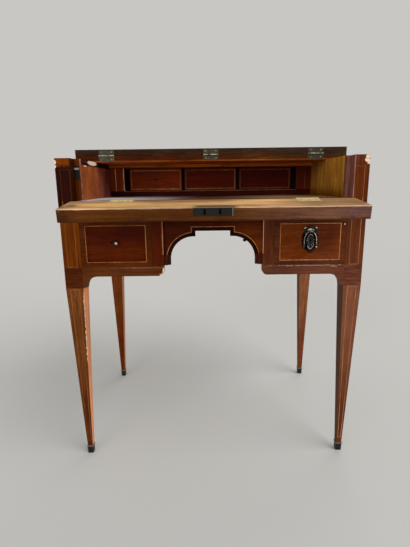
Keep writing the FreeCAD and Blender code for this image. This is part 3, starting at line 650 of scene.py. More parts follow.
def dress(nodes: str | tuple[str, ...], finish: Board | Metal) -> None:
    """Give CAD nodes their finish, in the material slots that they have.

    Args:
        nodes: one node's name, or several.
        finish: the wood or metal that they get.
    """
    material = finish.build()
    for name in (nodes,) if isinstance(nodes, str) else nodes:
        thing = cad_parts[name]
        if not thing.data.materials:
            thing.data.materials.append(material)
        for slot in thing.material_slots:
            slot.material = material


# Cuban mahogany veneer, french polished: a deep red brown whose straight fibres catch a low sheen.
POST_VENEER = Wood("#5a2a0c", 0.34, Grain.UPRIGHT, figure_mm=6, stretch=20)
# The same veneer on the legs, faded by daylight to a yellower brown, so its streaks show more.
LEG_VENEER = Wood("#6a3c1c", 0.36, Grain.UPRIGHT, figure_mm=5, stretch=24, pores=0.4)
# Cross-banded veneer round the blocks: the fibres lie across, so the blocks read as dark belts.
BAND_VENEER = Wood("#502208", 0.42, Grain.ACROSS, figure_mm=4.5, stretch=12)
# Rail veneer laid lengthways, a little dusty where hands and dusters pass.
RAIL_VENEER = Wood("#5a2d10", 0.3, Grain.ACROSS, figure_mm=6, stretch=18)
# Flame-cut drawer veneer: broad soft clouds under the thickest polish of the desk.
DRAWER_VENEER = Wood("#431803", 0.32, Grain.ACROSS, figure_mm=15, stretch=7, roughness=0.38)
# Oak carcase wood, never polished: dry, dull and dusty brown.
CARCASE_OAK = Wood("#7c5733", 0.25, Grain.DEEP, figure_mm=8, roughness=0.75)
# Beech rubbed bare by sleeves and paper: pale gold with long fine streaks.
RUBBED_BEECH = Wood("#cc9d64", 0.36, Grain.ACROSS, figure_mm=8, stretch=26, roughness=0.55,
                    gloss=0.1, patina=0.24)
# Board edges whose polish has gone grey and open, with every fibre drawn dark.
WEATHERED_EDGE = Wood("#3a281c", 0.45, Grain.ACROSS, figure_mm=3, stretch=16, roughness=0.7,
                      pores=0.6, patina=0.3)
# Wood stained black and oiled, which hides its grain.
EBONISED = Wood("#260701", 0.35, Grain.UPRIGHT, figure_mm=4)
# Satinwood lines yellowed by old polish, some of it worn through to a paler streak.
SATINWOOD = Wood("#a06a3a", 0.4, Grain.UPRIGHT, figure_mm=16, pores=0.15, patina=0.4, roughness=0.4)
# Sheet brass with its lacquer worn off: soft yellow, browned in the corners.
BRASS = Metal("brass, lacquer worn off", "#d8be7c", "#9a844e", metallic=0.4)
# Wrought iron blackened by oil: almost black, with a grey sheen on its rubbed edges.
IRON = Metal("blackened wrought iron", "#252320", "#0e0c0a", metallic=0.5, roughness=0.5)


@dataclass
class Stringing:
    """Light inlaid lines: thin strips let into the veneer, a hair proud of it."""

    width: float = 1.7
    proud: float = 0.12
    depth: float = 0.5

    def profile(self, width: float | None = None) -> np.ndarray:
        """Corners of a strip's section, across and outwards."""
        half = (width or self.width) / 2
        return np.array([[-half, -self.depth], [half, -self.depth], [half, self.proud],
                         [-half, self.proud]])

    def rectangle(self, low: tuple[float, float], high: tuple[float, float], y: float) -> Shell:
        """A rectangle of strips on a front face, from two corners given as X and Z."""
        corners = np.array([[low[0], y, low[1]], [high[0], y, low[1]], [high[0], y, high[1]],
                            [low[0], y, high[1]]], dtype=float)
        return sweep(corners, FORWARD, self.profile(), True)

    def line(self, points: list, y: float, width: float | None = None) -> Shell:
        """An open line of strips on a front face, through points given as X and Z."""
        path = np.array([[x, y, z] for x, z in points], dtype=float)
        return sweep(path, FORWARD, self.profile(width), False)

    def lay(self, name: str, shell: Shell, label: str, tone: str, body: str = "case",
            zones: tuple[Zone, ...] = ()) -> None:
        """Lay strips on a body as one piece of yellowed satinwood.

        Args:
            name: the piece's name.
            shell: the strips.
            label: where they lie, for the finish's name.
            tone: their tone.
            body: the CAD body that they move with.
            zones: parts where they have dulled.
        """
        finish = Board("satinwood, " + label, SATINWOOD.toned(tone), zones)
        make_piece(name, shell, finish.build(), body)


@dataclass
class Legs:
    """Posts and tapered legs, with their cross-banded blocks, inlaid lines and iron shoes."""

    stringing: Stringing
    foot: float = 14.0
    post: float = 48.0
    shoe_floor: float = 3.0
    collar_low: float = 22.0
    collar_high: float = 40.0
    band_top: float = 578.5
    cap_low: float = 843.0
    panel_half: float = 12.2
    panel_low: float = 579.5
    panel_high: float = 833.5
    rebate_floor: float = 361.5
    line_width: float = 1.6
    line_share: float = 0.255
    line_low: float = 44.0
    line_drop: float = 4.0

    def slope(self) -> float:
        """How far a leg's face comes in, per length of leg."""
        return (self.post - self.foot) / 2 / (LEG_SHOULDER - self.shoe_floor)

    def width_at(self, height: float) -> float:
        """Side of the leg's square section at a height."""
        return self.foot + 2 * self.slope() * (height - self.shoe_floor)

    def inner_face(self, side: int, wood: Wood) -> Zone:
        """Mark the face of a leg that looks to the other side of the desk.

        Args:
            side: minus one for a left leg, one for a right one.
            wood: the face's wood.

        Returns:
            A thin slanted zone below the shoulder.
        """
        edge = side * POST_AXIS - side * self.width_at(0.0) / 2
        level = -side * edge / math.hypot(1.0, self.slope())
        face = Slab((-side, 0.0, -self.slope()), level - 0.5, FAR, 0.2)
        return Zone((face, Slab(Z, -10, LEG_SHOULDER - 0.5)), wood)

    def arris(self, side: int, wood: Wood) -> Zone:
        """Mark the upper inner front edge of a leg, where knocks have broken the veneer.

        Args:
            side: minus one for a left leg, one for a right one.
            wood: the bare wood in the breaks.

        Returns:
            A thin ragged zone along the edge.
        """
        edge = self.width_at(0.0) / 2
        length = math.hypot(1.0, self.slope())
        across = Slab((-side, 0.0, -self.slope()), (edge - POST_AXIS) / length - 1.5, FAR, 0.3)
        ahead = Slab((0.0, -1.0, -self.slope()),
                     (edge - self.post / 2 - FRONT) / length - 1.5, FAR, 0.3)
        return Zone((across, ahead, Slab(Z, 300, LEG_SHOULDER - 12, 5)), wood,
                    ragged_mm=2.2, ragged_size_mm=9)

    def rebate(self, side: int, wood: Wood) -> Zone:
        """The inner faces of a post above the bed, where the fall folds up against it."""
        return Zone((Slab((-side, 0, 0), -self.rebate_floor - 0.8, FAR),
                     Slab(Z, BED_TOP - 8, FAR)), wood)

    def finish(self, name: str, upper: Wood, lower: Wood, leg: Wood, inner: tuple[Zone, ...],
               band: str = BAND_VENEER.tone, spots: tuple[Spot, ...] = ()) -> Board:
        """Upright veneer on the post, a cross-banded block, and a lighter leg below it.

        The leg grows darker and redder towards its foot, and a painted shadow of the fall darkens
        the post's front just below it.

        Args:
            name: which leg it is.
            upper: veneer beside the open bay.
            lower: veneer beside the drawer.
            leg: veneer below the block.
            inner: zones of this leg alone, laid last.
            band: the block's tone.
            spots: chips and dirt.

        Returns:
            The leg's finish.
        """
        red, green, blue = (int(leg.tone[start:start + 2], 16) for start in (1, 3, 5))
        foot = "#%02x%02x%02x" % (int(red * 0.8), int(green * 0.68), int(blue * 0.6))
        # Painted shadow of the fall on the posts' fronts, just below it.
        fall_shadow = Zone((Slab(Z, 714, 740, 6), Slab(Y, -FAR, FRONT + 1.0)), lower.toned("#3c1a06"),
                   amount=0.35)
        zones = (Zone((Slab(Z, BED_TOP - 26, self.cap_low, 6),), upper, ragged_mm=4),
                 Zone((Slab(Z, LEG_SHOULDER, self.band_top),), BAND_VENEER.toned(band)),
                 Zone((Slab(Z, -10, LEG_SHOULDER),), leg),
                 Zone((Slab(Z, -200, 240, 130),), leg.toned(foot)), fall_shadow)
        return Board("french-polished mahogany, " + name, lower, zones + inner, spots)

    def lines(self, side: int) -> Shell:
        """Draw a long panel on a front post and a tapering one on its leg.

        The tapering one lies on the leg's slanted face, each side line at a fixed share of the
        leg's width from its middle.

        Args:
            side: minus one for the left leg, one for the right one.

        Returns:
            Both panels' strips.
        """
        x = side * POST_AXIS
        panel = self.stringing.rectangle((x - self.panel_half, self.panel_low),
                                         (x + self.panel_half, self.panel_high), FRONT)
        points = []
        top = LEG_SHOULDER - self.line_drop
        for height, sign in ((self.line_low, -1), (self.line_low, 1), (top, 1), (top, -1)):
            width = self.width_at(height)
            depth = FRONT + (self.post - width) / 2
            points.append([x + sign * self.line_share * width, depth, height])
        normal = np.array([0, -1.0, -self.slope()])
        normal /= np.linalg.norm(normal)
        strip = self.stringing.profile(self.line_width)
        return panel.join(sweep(np.array(points), normal, strip, True))

    def build_left(self) -> None:
        """Dress the left front leg: its post is dark inside the bay, and its cap is chipped."""
        # The leg's inner face is painted light: a paler wood, lit further by painted light from the
        # right, which it faces.
        bare = Wood("#e09264", 0.2, Grain.UPRIGHT, figure_mm=6, stretch=20)
        floor = Zone((Slab(X, -FAR, 0.8 - self.rebate_floor),
                      Slab(X, -self.rebate_floor - 0.8, FAR), Slab(Z, BED_TOP - 8, FAR)),
                     POST_VENEER.toned("#2c1002"))
        inner = (self.inner_face(-1, bare), self.arris(-1, CHIP_WOOD.toned("#e8bc9c")),
                 self.rebate(-1, POST_VENEER.toned("#5e2802")), floor)
        chips = (Spot((-400, FRONT + 2, 852), (6, 9, 5)), Spot((-400, FRONT + 2, 841), (4, 9, 4)))
        dress("front_left_leg", self.finish(
            "left front leg", POST_VENEER.toned("#280600", seed=1.3),
            POST_VENEER.toned("#713401", seed=1.3), LEG_VENEER.toned("#6b3c1b", seed=0.4), inner,
            spots=chips))

    def build_right(self) -> None:
        """Dress the right front leg: it has faded, and its cap's corner is broken off."""
        # Painted shade: the leg's inner face, turned from the light, is painted darker.
        painted_light_and_shade = Wood("#513425", 0.25, Grain.UPRIGHT, figure_mm=6, stretch=20)
        # Painted reflection: the post's inner faces above the bed, and the edge of its front beside
        # them, are painted paler and pinkish, as a sheen on the polish.
        arris = Zone((Slab(X, 300, self.rebate_floor + 2.2), Slab(Y, -FAR, FRONT + 1.0),
                      Slab(Z, BED_TOP + 3, 860, 2)), POST_VENEER.toned("#9a7060"))
        inner = (self.inner_face(1, painted_light_and_shade), self.rebate(1, POST_VENEER.toned("#825248")), arris)
        chips = (Spot((397, FRONT, 857), (9, 10, 5.5)), Spot((393, FRONT, 849), (7, 10, 6)),
                 Spot((399, FRONT, 843), (7, 14, 7)))
        dress("front_right_leg", self.finish(
            "right front leg", POST_VENEER.toned("#58270b", seed=2.1),
            POST_VENEER.toned("#5d2d18", seed=2.1),
            LEG_VENEER.toned("#754630", spread=0.24, seed=3.0), inner, "#663928", chips))

    def build(self) -> None:
        """Dress the four legs and their shoes, and lay the lines on the two front ones."""
        self.build_left()
        self.build_right()
        # Painted light and shade on the rear legs' inner faces: lighter on the left leg, which
        # faces the light, darker on the right one.
        for name, side, rear, inner in (
                ("left", -1, LEG_VENEER.toned("#733912"), "#c47f56"),
                ("right", 1, LEG_VENEER.toned("#8c5638", seed=5.0), "#4a2c1c")):
            dress("rear_%s_leg" % name, self.finish(
                name + " rear leg", POST_VENEER, POST_VENEER, rear,
                (self.inner_face(side, rear.toned(inner)),)))
        # A painted highlight runs along the shoes' top collar.
        collar = Slab(Z, self.collar_low, self.collar_high, 0.6)
        dress("leg_sabots", replace(IRON, name="iron shoes", rubbed=(collar,),
                                    wear_and_highlight_tone="#6f675c"))
        for name, side, tone, dulled in (("left", -1, "#84501f", "#45220f"),
                                         ("right", 1, "#9a6848", "#7a4a30")):
            upper = Zone((Slab(Z, BED_TOP, FAR, 3),), SATINWOOD.toned(dulled))
            self.stringing.lay(name + "_leg_stringing", self.lines(side), name + " leg", tone,
                               zones=(upper,))


@dataclass
class Case:
    """Sides, rails, apron with its arch, back and inner drawer frame."""

    stringing: Stringing
    arch_rise: float = 119.0
    arch_top_half: float = 46.5
    arch_step: float = 14.5
    arch_radius: float = 62.0
    arch_foot_width: float = 18.0
    arch_foot_rise: float = 28.0
    block_rise: float = 27.0
    apron_recess: float = 10.0
    band_width: float = 9.5
    arch_line: float = 1.9
    line_gap: float = 1.2
    arc_steps: int = 24
    splinter: tuple[float, float, float] = (85.0, FRONT + 12.5, 646.0)
    edging: float = 2.2
    base_line: float = 1.5
    base_half: float = 298.0
    stile_lines: tuple[float, float] = (299.2, 327.0)

    def arch_path(self, offset: float) -> np.ndarray:
        """Move the arch's outline outwards: two arcs, two steps and a flat top.

        Each arc keeps its centre and has the offset added to its radius, and each straight run
        moves sideways or upwards by the offset.

        Args:
            offset: distance outwards, in millimetres.

        Returns:
            The path's points on the apron's face.
        """
        centre = KNEEHOLE - self.arch_foot_width - self.arch_radius
        spring = CASE_BOTTOM + self.arch_rise - self.arch_step - self.arch_radius
        radius = self.arch_radius + offset
        foot = CASE_BOTTOM + self.arch_foot_rise + self.block_rise
        stop = self.arch_top_half + offset
        inner = math.acos((stop - centre) / radius) if stop > centre else math.pi / 2
        first = math.asin(max(0.0, (foot - spring) / radius))
        angle = np.linspace(first, inner, self.arc_steps)
        right = np.stack([centre + radius * np.cos(angle), spring + radius * np.sin(angle)],
                         axis=-1)
        if stop < centre:
            right = np.vstack([right, [stop, right[-1, 1]]])
        right = np.vstack([right, [stop, CASE_BOTTOM + self.arch_rise + offset]])
        flat = np.vstack([right, right[::-1] * np.array([-1, 1])])
        return np.stack([flat[:, 0], np.full(len(flat), FRONT + self.apron_recess), flat[:, 1]],
                        axis=-1)

    def build_arch(self) -> None:
        """Lay the arch's dark band and the light line round it on the apron."""
        band = Stringing(width=self.band_width).profile()
        shell = sweep(self.arch_path(self.band_width / 2 + 0.1), FORWARD, band, False)
        make_piece("arch_band", shell, Board("ebonised arch band", EBONISED).build(), "case")
        # A splinter of the band has come loose at the right haunch and hangs below the arch.
        profile = np.array([[0, -4.0], [2.6, -3.0], [3.6, 0.0], [2.8, 3.2], [0, 4.4]])
        splinter = turned(profile, 12).placed(np.array(self.splinter), np.diag([1.4, 0.55, 1.0]))
        make_piece("arch_splinter", splinter, Board("ebonised splinter", EBONISED).build(),
                   "case")
        line = self.stringing.profile(self.arch_line)
        self.stringing.lay("arch_stringing",
                           sweep(self.arch_path(self.band_width + self.line_gap), FORWARD, line,
                                 False),
                           "arch line", "#a86f40")

    def build_lines(self) -> None:
        """Lay light edgings beside the kneehole and round the inner drawer frame."""
        edge = KNEEHOLE + self.edging / 2
        low = CASE_BOTTOM + self.arch_foot_rise + self.block_rise + 3
        high = corner("inner_stiles", 1)[2]
        lay, line = self.stringing.lay, self.stringing.line
        lay("kneehole_edging",
            joined(line([(side * edge, low), (side * edge, high)], FRONT, self.edging)
                   for side in (-1, 1)), "kneehole edges", "#cc8f66")
        front = corner("gradin_stiles", 0)[1]
        base = corner("gradin_floor", 1)[2]
        roof = corner("gradin_top", 0)[2]
        lay("inner_base_stringing",
            line([(-self.base_half, base - 1.2), (self.base_half, base - 1.2)], front,
                 self.base_line), "inner base line", "#8a6048")
        # The left inner stile's lines are painted pale as painted light, the right ones darker.
        for name, side, width, tone in (("left", -1, 2.8, "#e6c0ae"), ("right", 1, 1.8, "#70483a")):
            lay(name + "_stile_stringing",
                joined(line([(side * x, base + 0.5), (side * x, roof - 0.5)], front, width)
                       for x in self.stile_lines), name + " inner stile lines", tone)

    def build_front(self) -> None:
        """Dress the stiles, the rails and the arched apron."""
        stile = Wood("#561c01", 0.3, Grain.UPRIGHT, figure_mm=7)
        # Lighter on the right, partly for the veneer and partly as painted light, which falls off
        # to the left.
        right = Zone((Slab(X, 0, 400),), stile.toned("#5e2c16"))
        dress("inner_stiles", Board("french-polished mahogany, stiles", stile, (right,)))
        chips = (Spot((-133, FRONT + 4, 566), (3, 16, 13)),
                 Spot((-138, FRONT + 4, 556), (7, 16, 4)),
                 Spot((-195, FRONT, 576.5), (75, 3, 1.4), CHIP_WOOD.toned("#80594a"), 3.2))
        dress("left_bottom_rail",
              Board("french-polished mahogany, left rail", RAIL_VENEER, spots=chips))
        nicks = (Spot((325, FRONT, 574), (9, 3, 2), CHIP_WOOD.toned("#8a7064")),
                 Spot((255, FRONT, 577.5), (90, 3, 1.5), CHIP_WOOD.toned("#96766c"), 3.2))
        dress("right_bottom_rail",
              Board("french-polished mahogany, right rail",
                    RAIL_VENEER.toned("#643928", seed=2.0), spots=nicks))
        dress("front_top_rail", Board("mahogany, rail under the bed", RAIL_VENEER))
        apron = Wood("#491601", 0.32, Grain.ACROSS, figure_mm=11, stretch=7, roughness=0.4)
        # Lighter on the right, partly for the veneer and partly as painted light falling off to the
        # left; darker at the top with the painted shadow of the fall.
        light = Zone((Slab(X, 60, 400, 60),), apron.toned("#662a08"))
        top = Zone((Slab(Z, 688, FAR, 8),), apron.toned("#300e02"), amount=0.6)
        # Knees have rubbed the black off the lowest corners, down to brown wood.
        worn = EBONISED.toned("#3e1c12", grain=Grain.ACROSS)
        foot = Zone((Slab(Z, 500, 610, 1.5),), worn)
        chip = Spot((91, FRONT + 10, 641), (7, 3, 4))
        dress("kneehole_apron", Board("french-polished mahogany, arched apron", apron,
                                      (light, top, foot), (chip,)))
        dress("apron_drop_blocks", Board("ebonised drop blocks, worn", worn))

    def build_frame(self) -> None:
        """Dress the frame of the inner drawers, with painted light and shade: redder and lighter on
        its left.
        """
        # The partitions are painted nearly black, as painted shade in the deep gaps between the
        # small drawers.
        dress("gradin_partitions", Board("oak partitions in painted shade", CARCASE_OAK.toned("#1a0a06")))
        wood = Wood("#390c03", 0.3, Grain.ACROSS, figure_mm=7)
        dress("gradin_floor", Board("mahogany, inner base", wood))
        # The left stile is painted bright as painted light in the shaded bay, and the right one
        # darker where the light reaches it.
        stile = wood.toned("#983e0e", grain=Grain.UPRIGHT)
        right = Zone((Slab(X, 0, 400),), stile.toned("#521a06"))
        dress("gradin_stiles", Board("mahogany, inner stiles", stile, (right,)))
        # The top rail is painted bright orange as painted light in the shaded bay, and a painted
        # shadow line runs along its foot.
        rail = wood.toned("#c4661f")
        low = Zone((Slab(Z, 0, corner("gradin_top", 0)[2] + 2.5, 1),), rail.toned("#5a2408"))
        dress("gradin_top", Board("mahogany, inner top rail", rail, (low,)))

    def build_linings(self) -> None:
        """Dress the linings of the bay.

        The left one keeps its red polish, broken along the top, with a painted reflection and
        painted light at the rear, and the right one is bare oak.
        """
        polished = Wood("#914c26", 0.3, Grain.UPRIGHT, figure_mm=9, stretch=1.5, patina=0.35,
                        roughness=0.36)
        ahead, behind = (corner("left_bay_lining", which)[1] for which in (0, 1))
        # Painted glare of the polish at the rear, lighter there also as painted light.
        rear = Zone((Slab(Y, FRONT + 260, FAR, 110),), polished.toned("#98564c"))
        broken = Zone((Slab(Z, CASE_TOP - 15, FAR, 0.6),),
                      WEATHERED_EDGE.toned("#3a1a10", grain=Grain.DEEP), ragged_mm=2.0)
        edge = Zone((Slab(Y, -FAR, ahead + 1.0),), polished.toned("#a86c58"))
        # A pale painted reflection along the rear edge.
        rubbed = Zone((Slab(Y, behind - 9, FAR, 2), Slab(Z, 0, 820, 20)),
                      polished.toned("#dcb4ac"), ragged_mm=5, amount=0.8)
        chips = (Spot((-348, FRONT + 160, 857), (8, 54, 7)),
                 Spot((-348, FRONT + 86, 846), (8, 15, 2)),
                 Spot((-348, FRONT + 90, 852), (8, 19, 3), EBONISED.toned("#0c0402")))
        dress("left_bay_lining", Board("french-polished mahogany, left lining", polished,
                                       (rear, broken, edge, rubbed), chips))
        bare = Wood("#ad772c", 0.28, Grain.UPRIGHT, figure_mm=18, stretch=5, roughness=0.6)
        low = Zone((Slab(Z, 0, BED_TOP + 18, 18),), bare.toned("#744309"))
        dress("right_bay_lining", Board("bare oak, right lining", bare, (low,)))

    def build(self) -> None:
        """Dress every board of the case and lay its lines."""
        side = Wood("#6a3216", 0.3, Grain.UPRIGHT, figure_mm=14, stretch=12)
        dress("left_side_panel", Board("french-polished mahogany, left side", side))
        dress("right_side_panel", Board("french-polished mahogany, right side",
                                        replace(side, seed=4.0)))
        dress(("left_kneehole_side", "right_kneehole_side"),
              Board("mahogany, kneehole sides", side.toned("#421a0a")))
        dress(("box_bottoms", "drawer_guides", "bed_runners", "side_fillers"),
              Board("bare oak, carcase", CARCASE_OAK))
        dress(("box_backs", "back_panel"), Board("bare oak, back", replace(
            CARCASE_OAK, grain=Grain.ACROSS, stretch=24, patina=0.3)))
        for build in (self.build_front, self.build_frame, self.build_linings, self.build_arch,
                      self.build_lines):
            build()


@dataclass
class Top:
    """Fixed rear board and folded leaf, with worn edges, brass hinges and the link plate."""

    edge: float = 1.6

    def edges(self, low: np.ndarray, high: np.ndarray, wood: Wood) -> tuple[Zone, ...]:
        """The four narrow faces of a board as thin zones."""
        return (Zone((Slab(Y, -FAR, low[1] + self.edge),), wood),
                Zone((Slab(Y, high[1] - self.edge, FAR),), wood),
                Zone((Slab(X, high[0] - self.edge, FAR),), wood),
                Zone((Slab(X, -FAR, low[0] + self.edge),), wood))

    def build(self) -> None:
        """Dress both boards and their metalwork."""
        face = Wood("#5f2c14", 0.32, Grain.ACROSS, figure_mm=12, stretch=14, roughness=0.38)
        for node, name, tone, worn in (("top_rear_board", "rear board", "#481d05", "#4a2c12"),
                                       ("lid_leaf", "folding leaf", "#372317", "#38281e")):
            low, high = corner(node, 0), corner(node, 1)
            edge = WEATHERED_EDGE.toned(tone)
            front = Slab(Y, -FAR, low[1] + self.edge)
            zones = self.edges(low, high, edge)
            zones += (Zone((front, Slab(X, 150, FAR, 160)), edge.toned(worn)),)
            if node == "top_rear_board":
                # The underside is painted bright orange: partly mahogany that never saw polish,
                # partly painted light in its shade.
                under = Zone((Slab(Z, 0, low[2] + 0.6, 0.2),), face.toned("#c06a30", patina=0.1))
                lower = Zone((front, Slab(Z, 0, low[2] + 3.6, 1.2)), edge.toned("#8a4213"),
                             amount=0.8)
                zones = (under,) + zones + (lower,)
            dress(node, Board("french-polished mahogany, " + name, face, zones))
        # Brass gone olive with age, with a painted highlight along the knuckles.
        hinge = Metal("tarnished brass hinges", "#3a331b", "#171208", metallic=0.3, spot_mm=9,
                      rubbed=(Slab(Z, LID_JOINT - 1.3, LID_JOINT + 1.7, 0.5),),
                      wear_and_highlight_tone="#b0a478", patch_mm=16)
        dress(("lid_hinge_fixed_leaves", "lid_hinge_moving_leaves", "lid_hinge_pins"), hinge)
        dress("lid_link_plate", IRON)


@dataclass
class Bed:
    """Sliding bed and its fall: rubbed bare on top, brown and worn at the edges."""

    reach: float = 106.6
    up: tuple[float, float, float] = (0.0, -math.sin(FALL_DROOP), math.cos(FALL_DROOP))
    out: tuple[float, float, float] = (0.0, -math.cos(FALL_DROOP), -math.sin(FALL_DROOP))
    strip: Wood = RUBBED_BEECH.toned("#96704a")

    def level(self) -> float:
        """Where the fall's top lies along its own upward direction."""
        return sum(a * b for a, b in zip(self.up, HINGE_LINE))

    def far(self) -> float:
        """Where the fall's far edge lies along its own outward direction."""
        return sum(a * b for a, b in zip(self.out, HINGE_LINE)) + self.reach

    def side_zones(self, face: Wood) -> tuple[Zone, ...]:
        """Vary the fall's polished wood along its length.

        It is redder to the right, stained at its right end, and dark from hands at its left one.

        Args:
            face: the fall's wood.

        Returns:
            The zones, the wide one first.
        """
        level = self.level()
        return (Zone((Slab(X, 150, FAR, 160),), face.toned("#754e3c")),
                Zone((Slab(X, 300, FAR, 40), Slab(self.up, level - 20, level + 9, 6)),
                     face.toned("#5c4044"), ragged_mm=14, ragged_size_mm=9, amount=0.6),
                Zone((Slab(X, -FAR, -335, 20),), face.toned("#41240f"), ragged_mm=12,
                     ragged_size_mm=14, amount=0.8))

    def top_zones(self) -> tuple[Zone, ...]:
        """Vary the fall's bare top.

        Sleeves rubbed the middle pale, the strip by the hinges is darker, and hands left dirt round
        the lock.

        Returns:
            The zones of the top, the wide ones first.
        """
        far = self.far()
        skin = Slab(self.up, self.level() - 1.0, FAR, 0.6)
        # Deep enough that the noise that moves a zone's limits never lifts it off the top.
        top = Slab(self.up, self.level() - 16, FAR, 0.6)
        return (Zone((skin,), RUBBED_BEECH, ragged_mm=0.5),
                Zone((skin, Slab(X, 200, FAR, 60)), RUBBED_BEECH.toned("#98734e")),
                Zone((top, Slab(self.out, far - 22, far - 6, 4)), RUBBED_BEECH.toned("#b58450"),
                     ragged_mm=4, ragged_size_mm=40, amount=0.6),
                Zone((top, Slab(self.out, far - 140, far - 78, 9), Slab(X, -FAR, 60, 60)),
                     self.strip, ragged_mm=5, ragged_size_mm=60, amount=0.9),
                Zone((top, Slab(self.out, far - 30, far - 9, 7), Slab(X, 54, 115, 26)),
                     RUBBED_BEECH.toned("#7c5632"), ragged_mm=5, ragged_size_mm=30, amount=0.7),
                Zone((top, Slab(X, -FAR, -325, 22), Slab(self.out, -FAR, far - 6, 4)),
                     RUBBED_BEECH.toned("#8c684c"), ragged_mm=8, ragged_size_mm=30, amount=0.75))

    def rim_zones(self, face: Wood) -> tuple[Zone, ...]:
        """Vary the fall's far edge: dark below, rubbed pale along its arris, grimy by the lock.

        Args:
            face: the fall's wood.

        Returns:
            The zones, laid over those of the top.
        """
        level, far = self.level(), self.far()
        edge = Slab(self.out, far - 3, FAR, 0.6)
        arris = Slab(self.out, far - 2.2, FAR, 0.8)
        return (Zone((Slab(self.up, -FAR, level - 27.5, 1.2), edge), face.toned("#3a1e0b"),
                     ragged_mm=2.4, ragged_size_mm=16, amount=0.6),
                Zone((Slab(self.up, level - 2.2, FAR, 0.8), arris), RUBBED_BEECH.toned("#cda685"),
                     ragged_mm=0.5, ragged_size_mm=30),
                Zone((Slab(self.up, level - 16, FAR, 0.6), Slab(self.out, far - 30, far + 9, 7),
                      Slab(X, -46, 54, 12)), RUBBED_BEECH.toned("#4e331a"), ragged_mm=5,
                     ragged_size_mm=25, amount=0.9))

    def build_boards(self) -> None:
        """Dress the fall and the bed.

        The bed keeps some polish, with a painted white reflection on its left, painted light on its
        right and a brown middle partly painted as a reflection of the dark drawers, and its front
        edge is darker, as the fall's strip is.
        """
        face = Wood("#562e0e", 0.3, Grain.ACROSS, figure_mm=8, stretch=16, roughness=0.5)
        mark = Spot((-335, HINGE_LINE[1] - 65, 746.5), (11, 6, 3), WEATHERED_EDGE, soft=0.25)
        zones = self.side_zones(face) + self.top_zones() + self.rim_zones(face)
        dress("fall_board", Board("rubbed beech, fall", face, zones, (mark,)))
        used = Wood("#4f301e", 0.3, Grain.ACROSS, figure_mm=9, stretch=30, roughness=0.42)
        front = Zone((Slab(Y, -FAR, HINGE_LINE[1] + 14, 10),), self.strip)
        # Painted reflection of the studio, white on the bed's left.
        painted_reflection = Zone((Slab(X, -FAR, -175, 150), Slab(Y, FRONT + 20, FAR, 40)),
                     used.toned("#d4cece"), ragged_mm=40, ragged_size_mm=70)
        # Painted light on the bed's right, lighter where the right lining shades it.
        painted_light_and_shade = Zone((Slab(X, 120, FAR, 130), Slab(Y, FRONT + 60, FAR, 60)), used.toned("#967a5a"))
        dress("writing_bed", Board("polished beech, bed", used, (front, painted_reflection, painted_light_and_shade)))

    def build_metal(self) -> None:
        """Dress the hinges, lock and catch: lock edges rubbed grey, a painted highlight on the
        hook.
        """
        dress(("fall_hinge_bed_leaves", "fall_hinge_leaves", "fall_hinge_pins"), BRASS)
        lip = Slab(self.up, self.level() - 1.2, self.level() + 3, 0.4)
        end = Slab(X, corner("lock_plate", 1)[0] - 1.5, FAR, 0.5)
        dress("lock_plate", replace(IRON, name="iron lock plate", bright="#120f0d",
                                    dull="#060504", rubbed=(lip, end), wear_and_highlight_tone="#77716a"))
        dress(("lock_case", "lock_bolt"), IRON)
        # A painted highlight on the catch's hook.
        hook = Slab(Z, 834, 839, 0.6)
        dress("fall_catch", replace(IRON, name="iron catch", bright="#1d1815", dull="#090706",
                                    rubbed=(hook,), wear_and_highlight_tone="#b4b0a8", patch_mm=14))

    def build(self) -> None:
        """Dress the boards and their metalwork."""
        self.build_boards()
        self.build_metal()


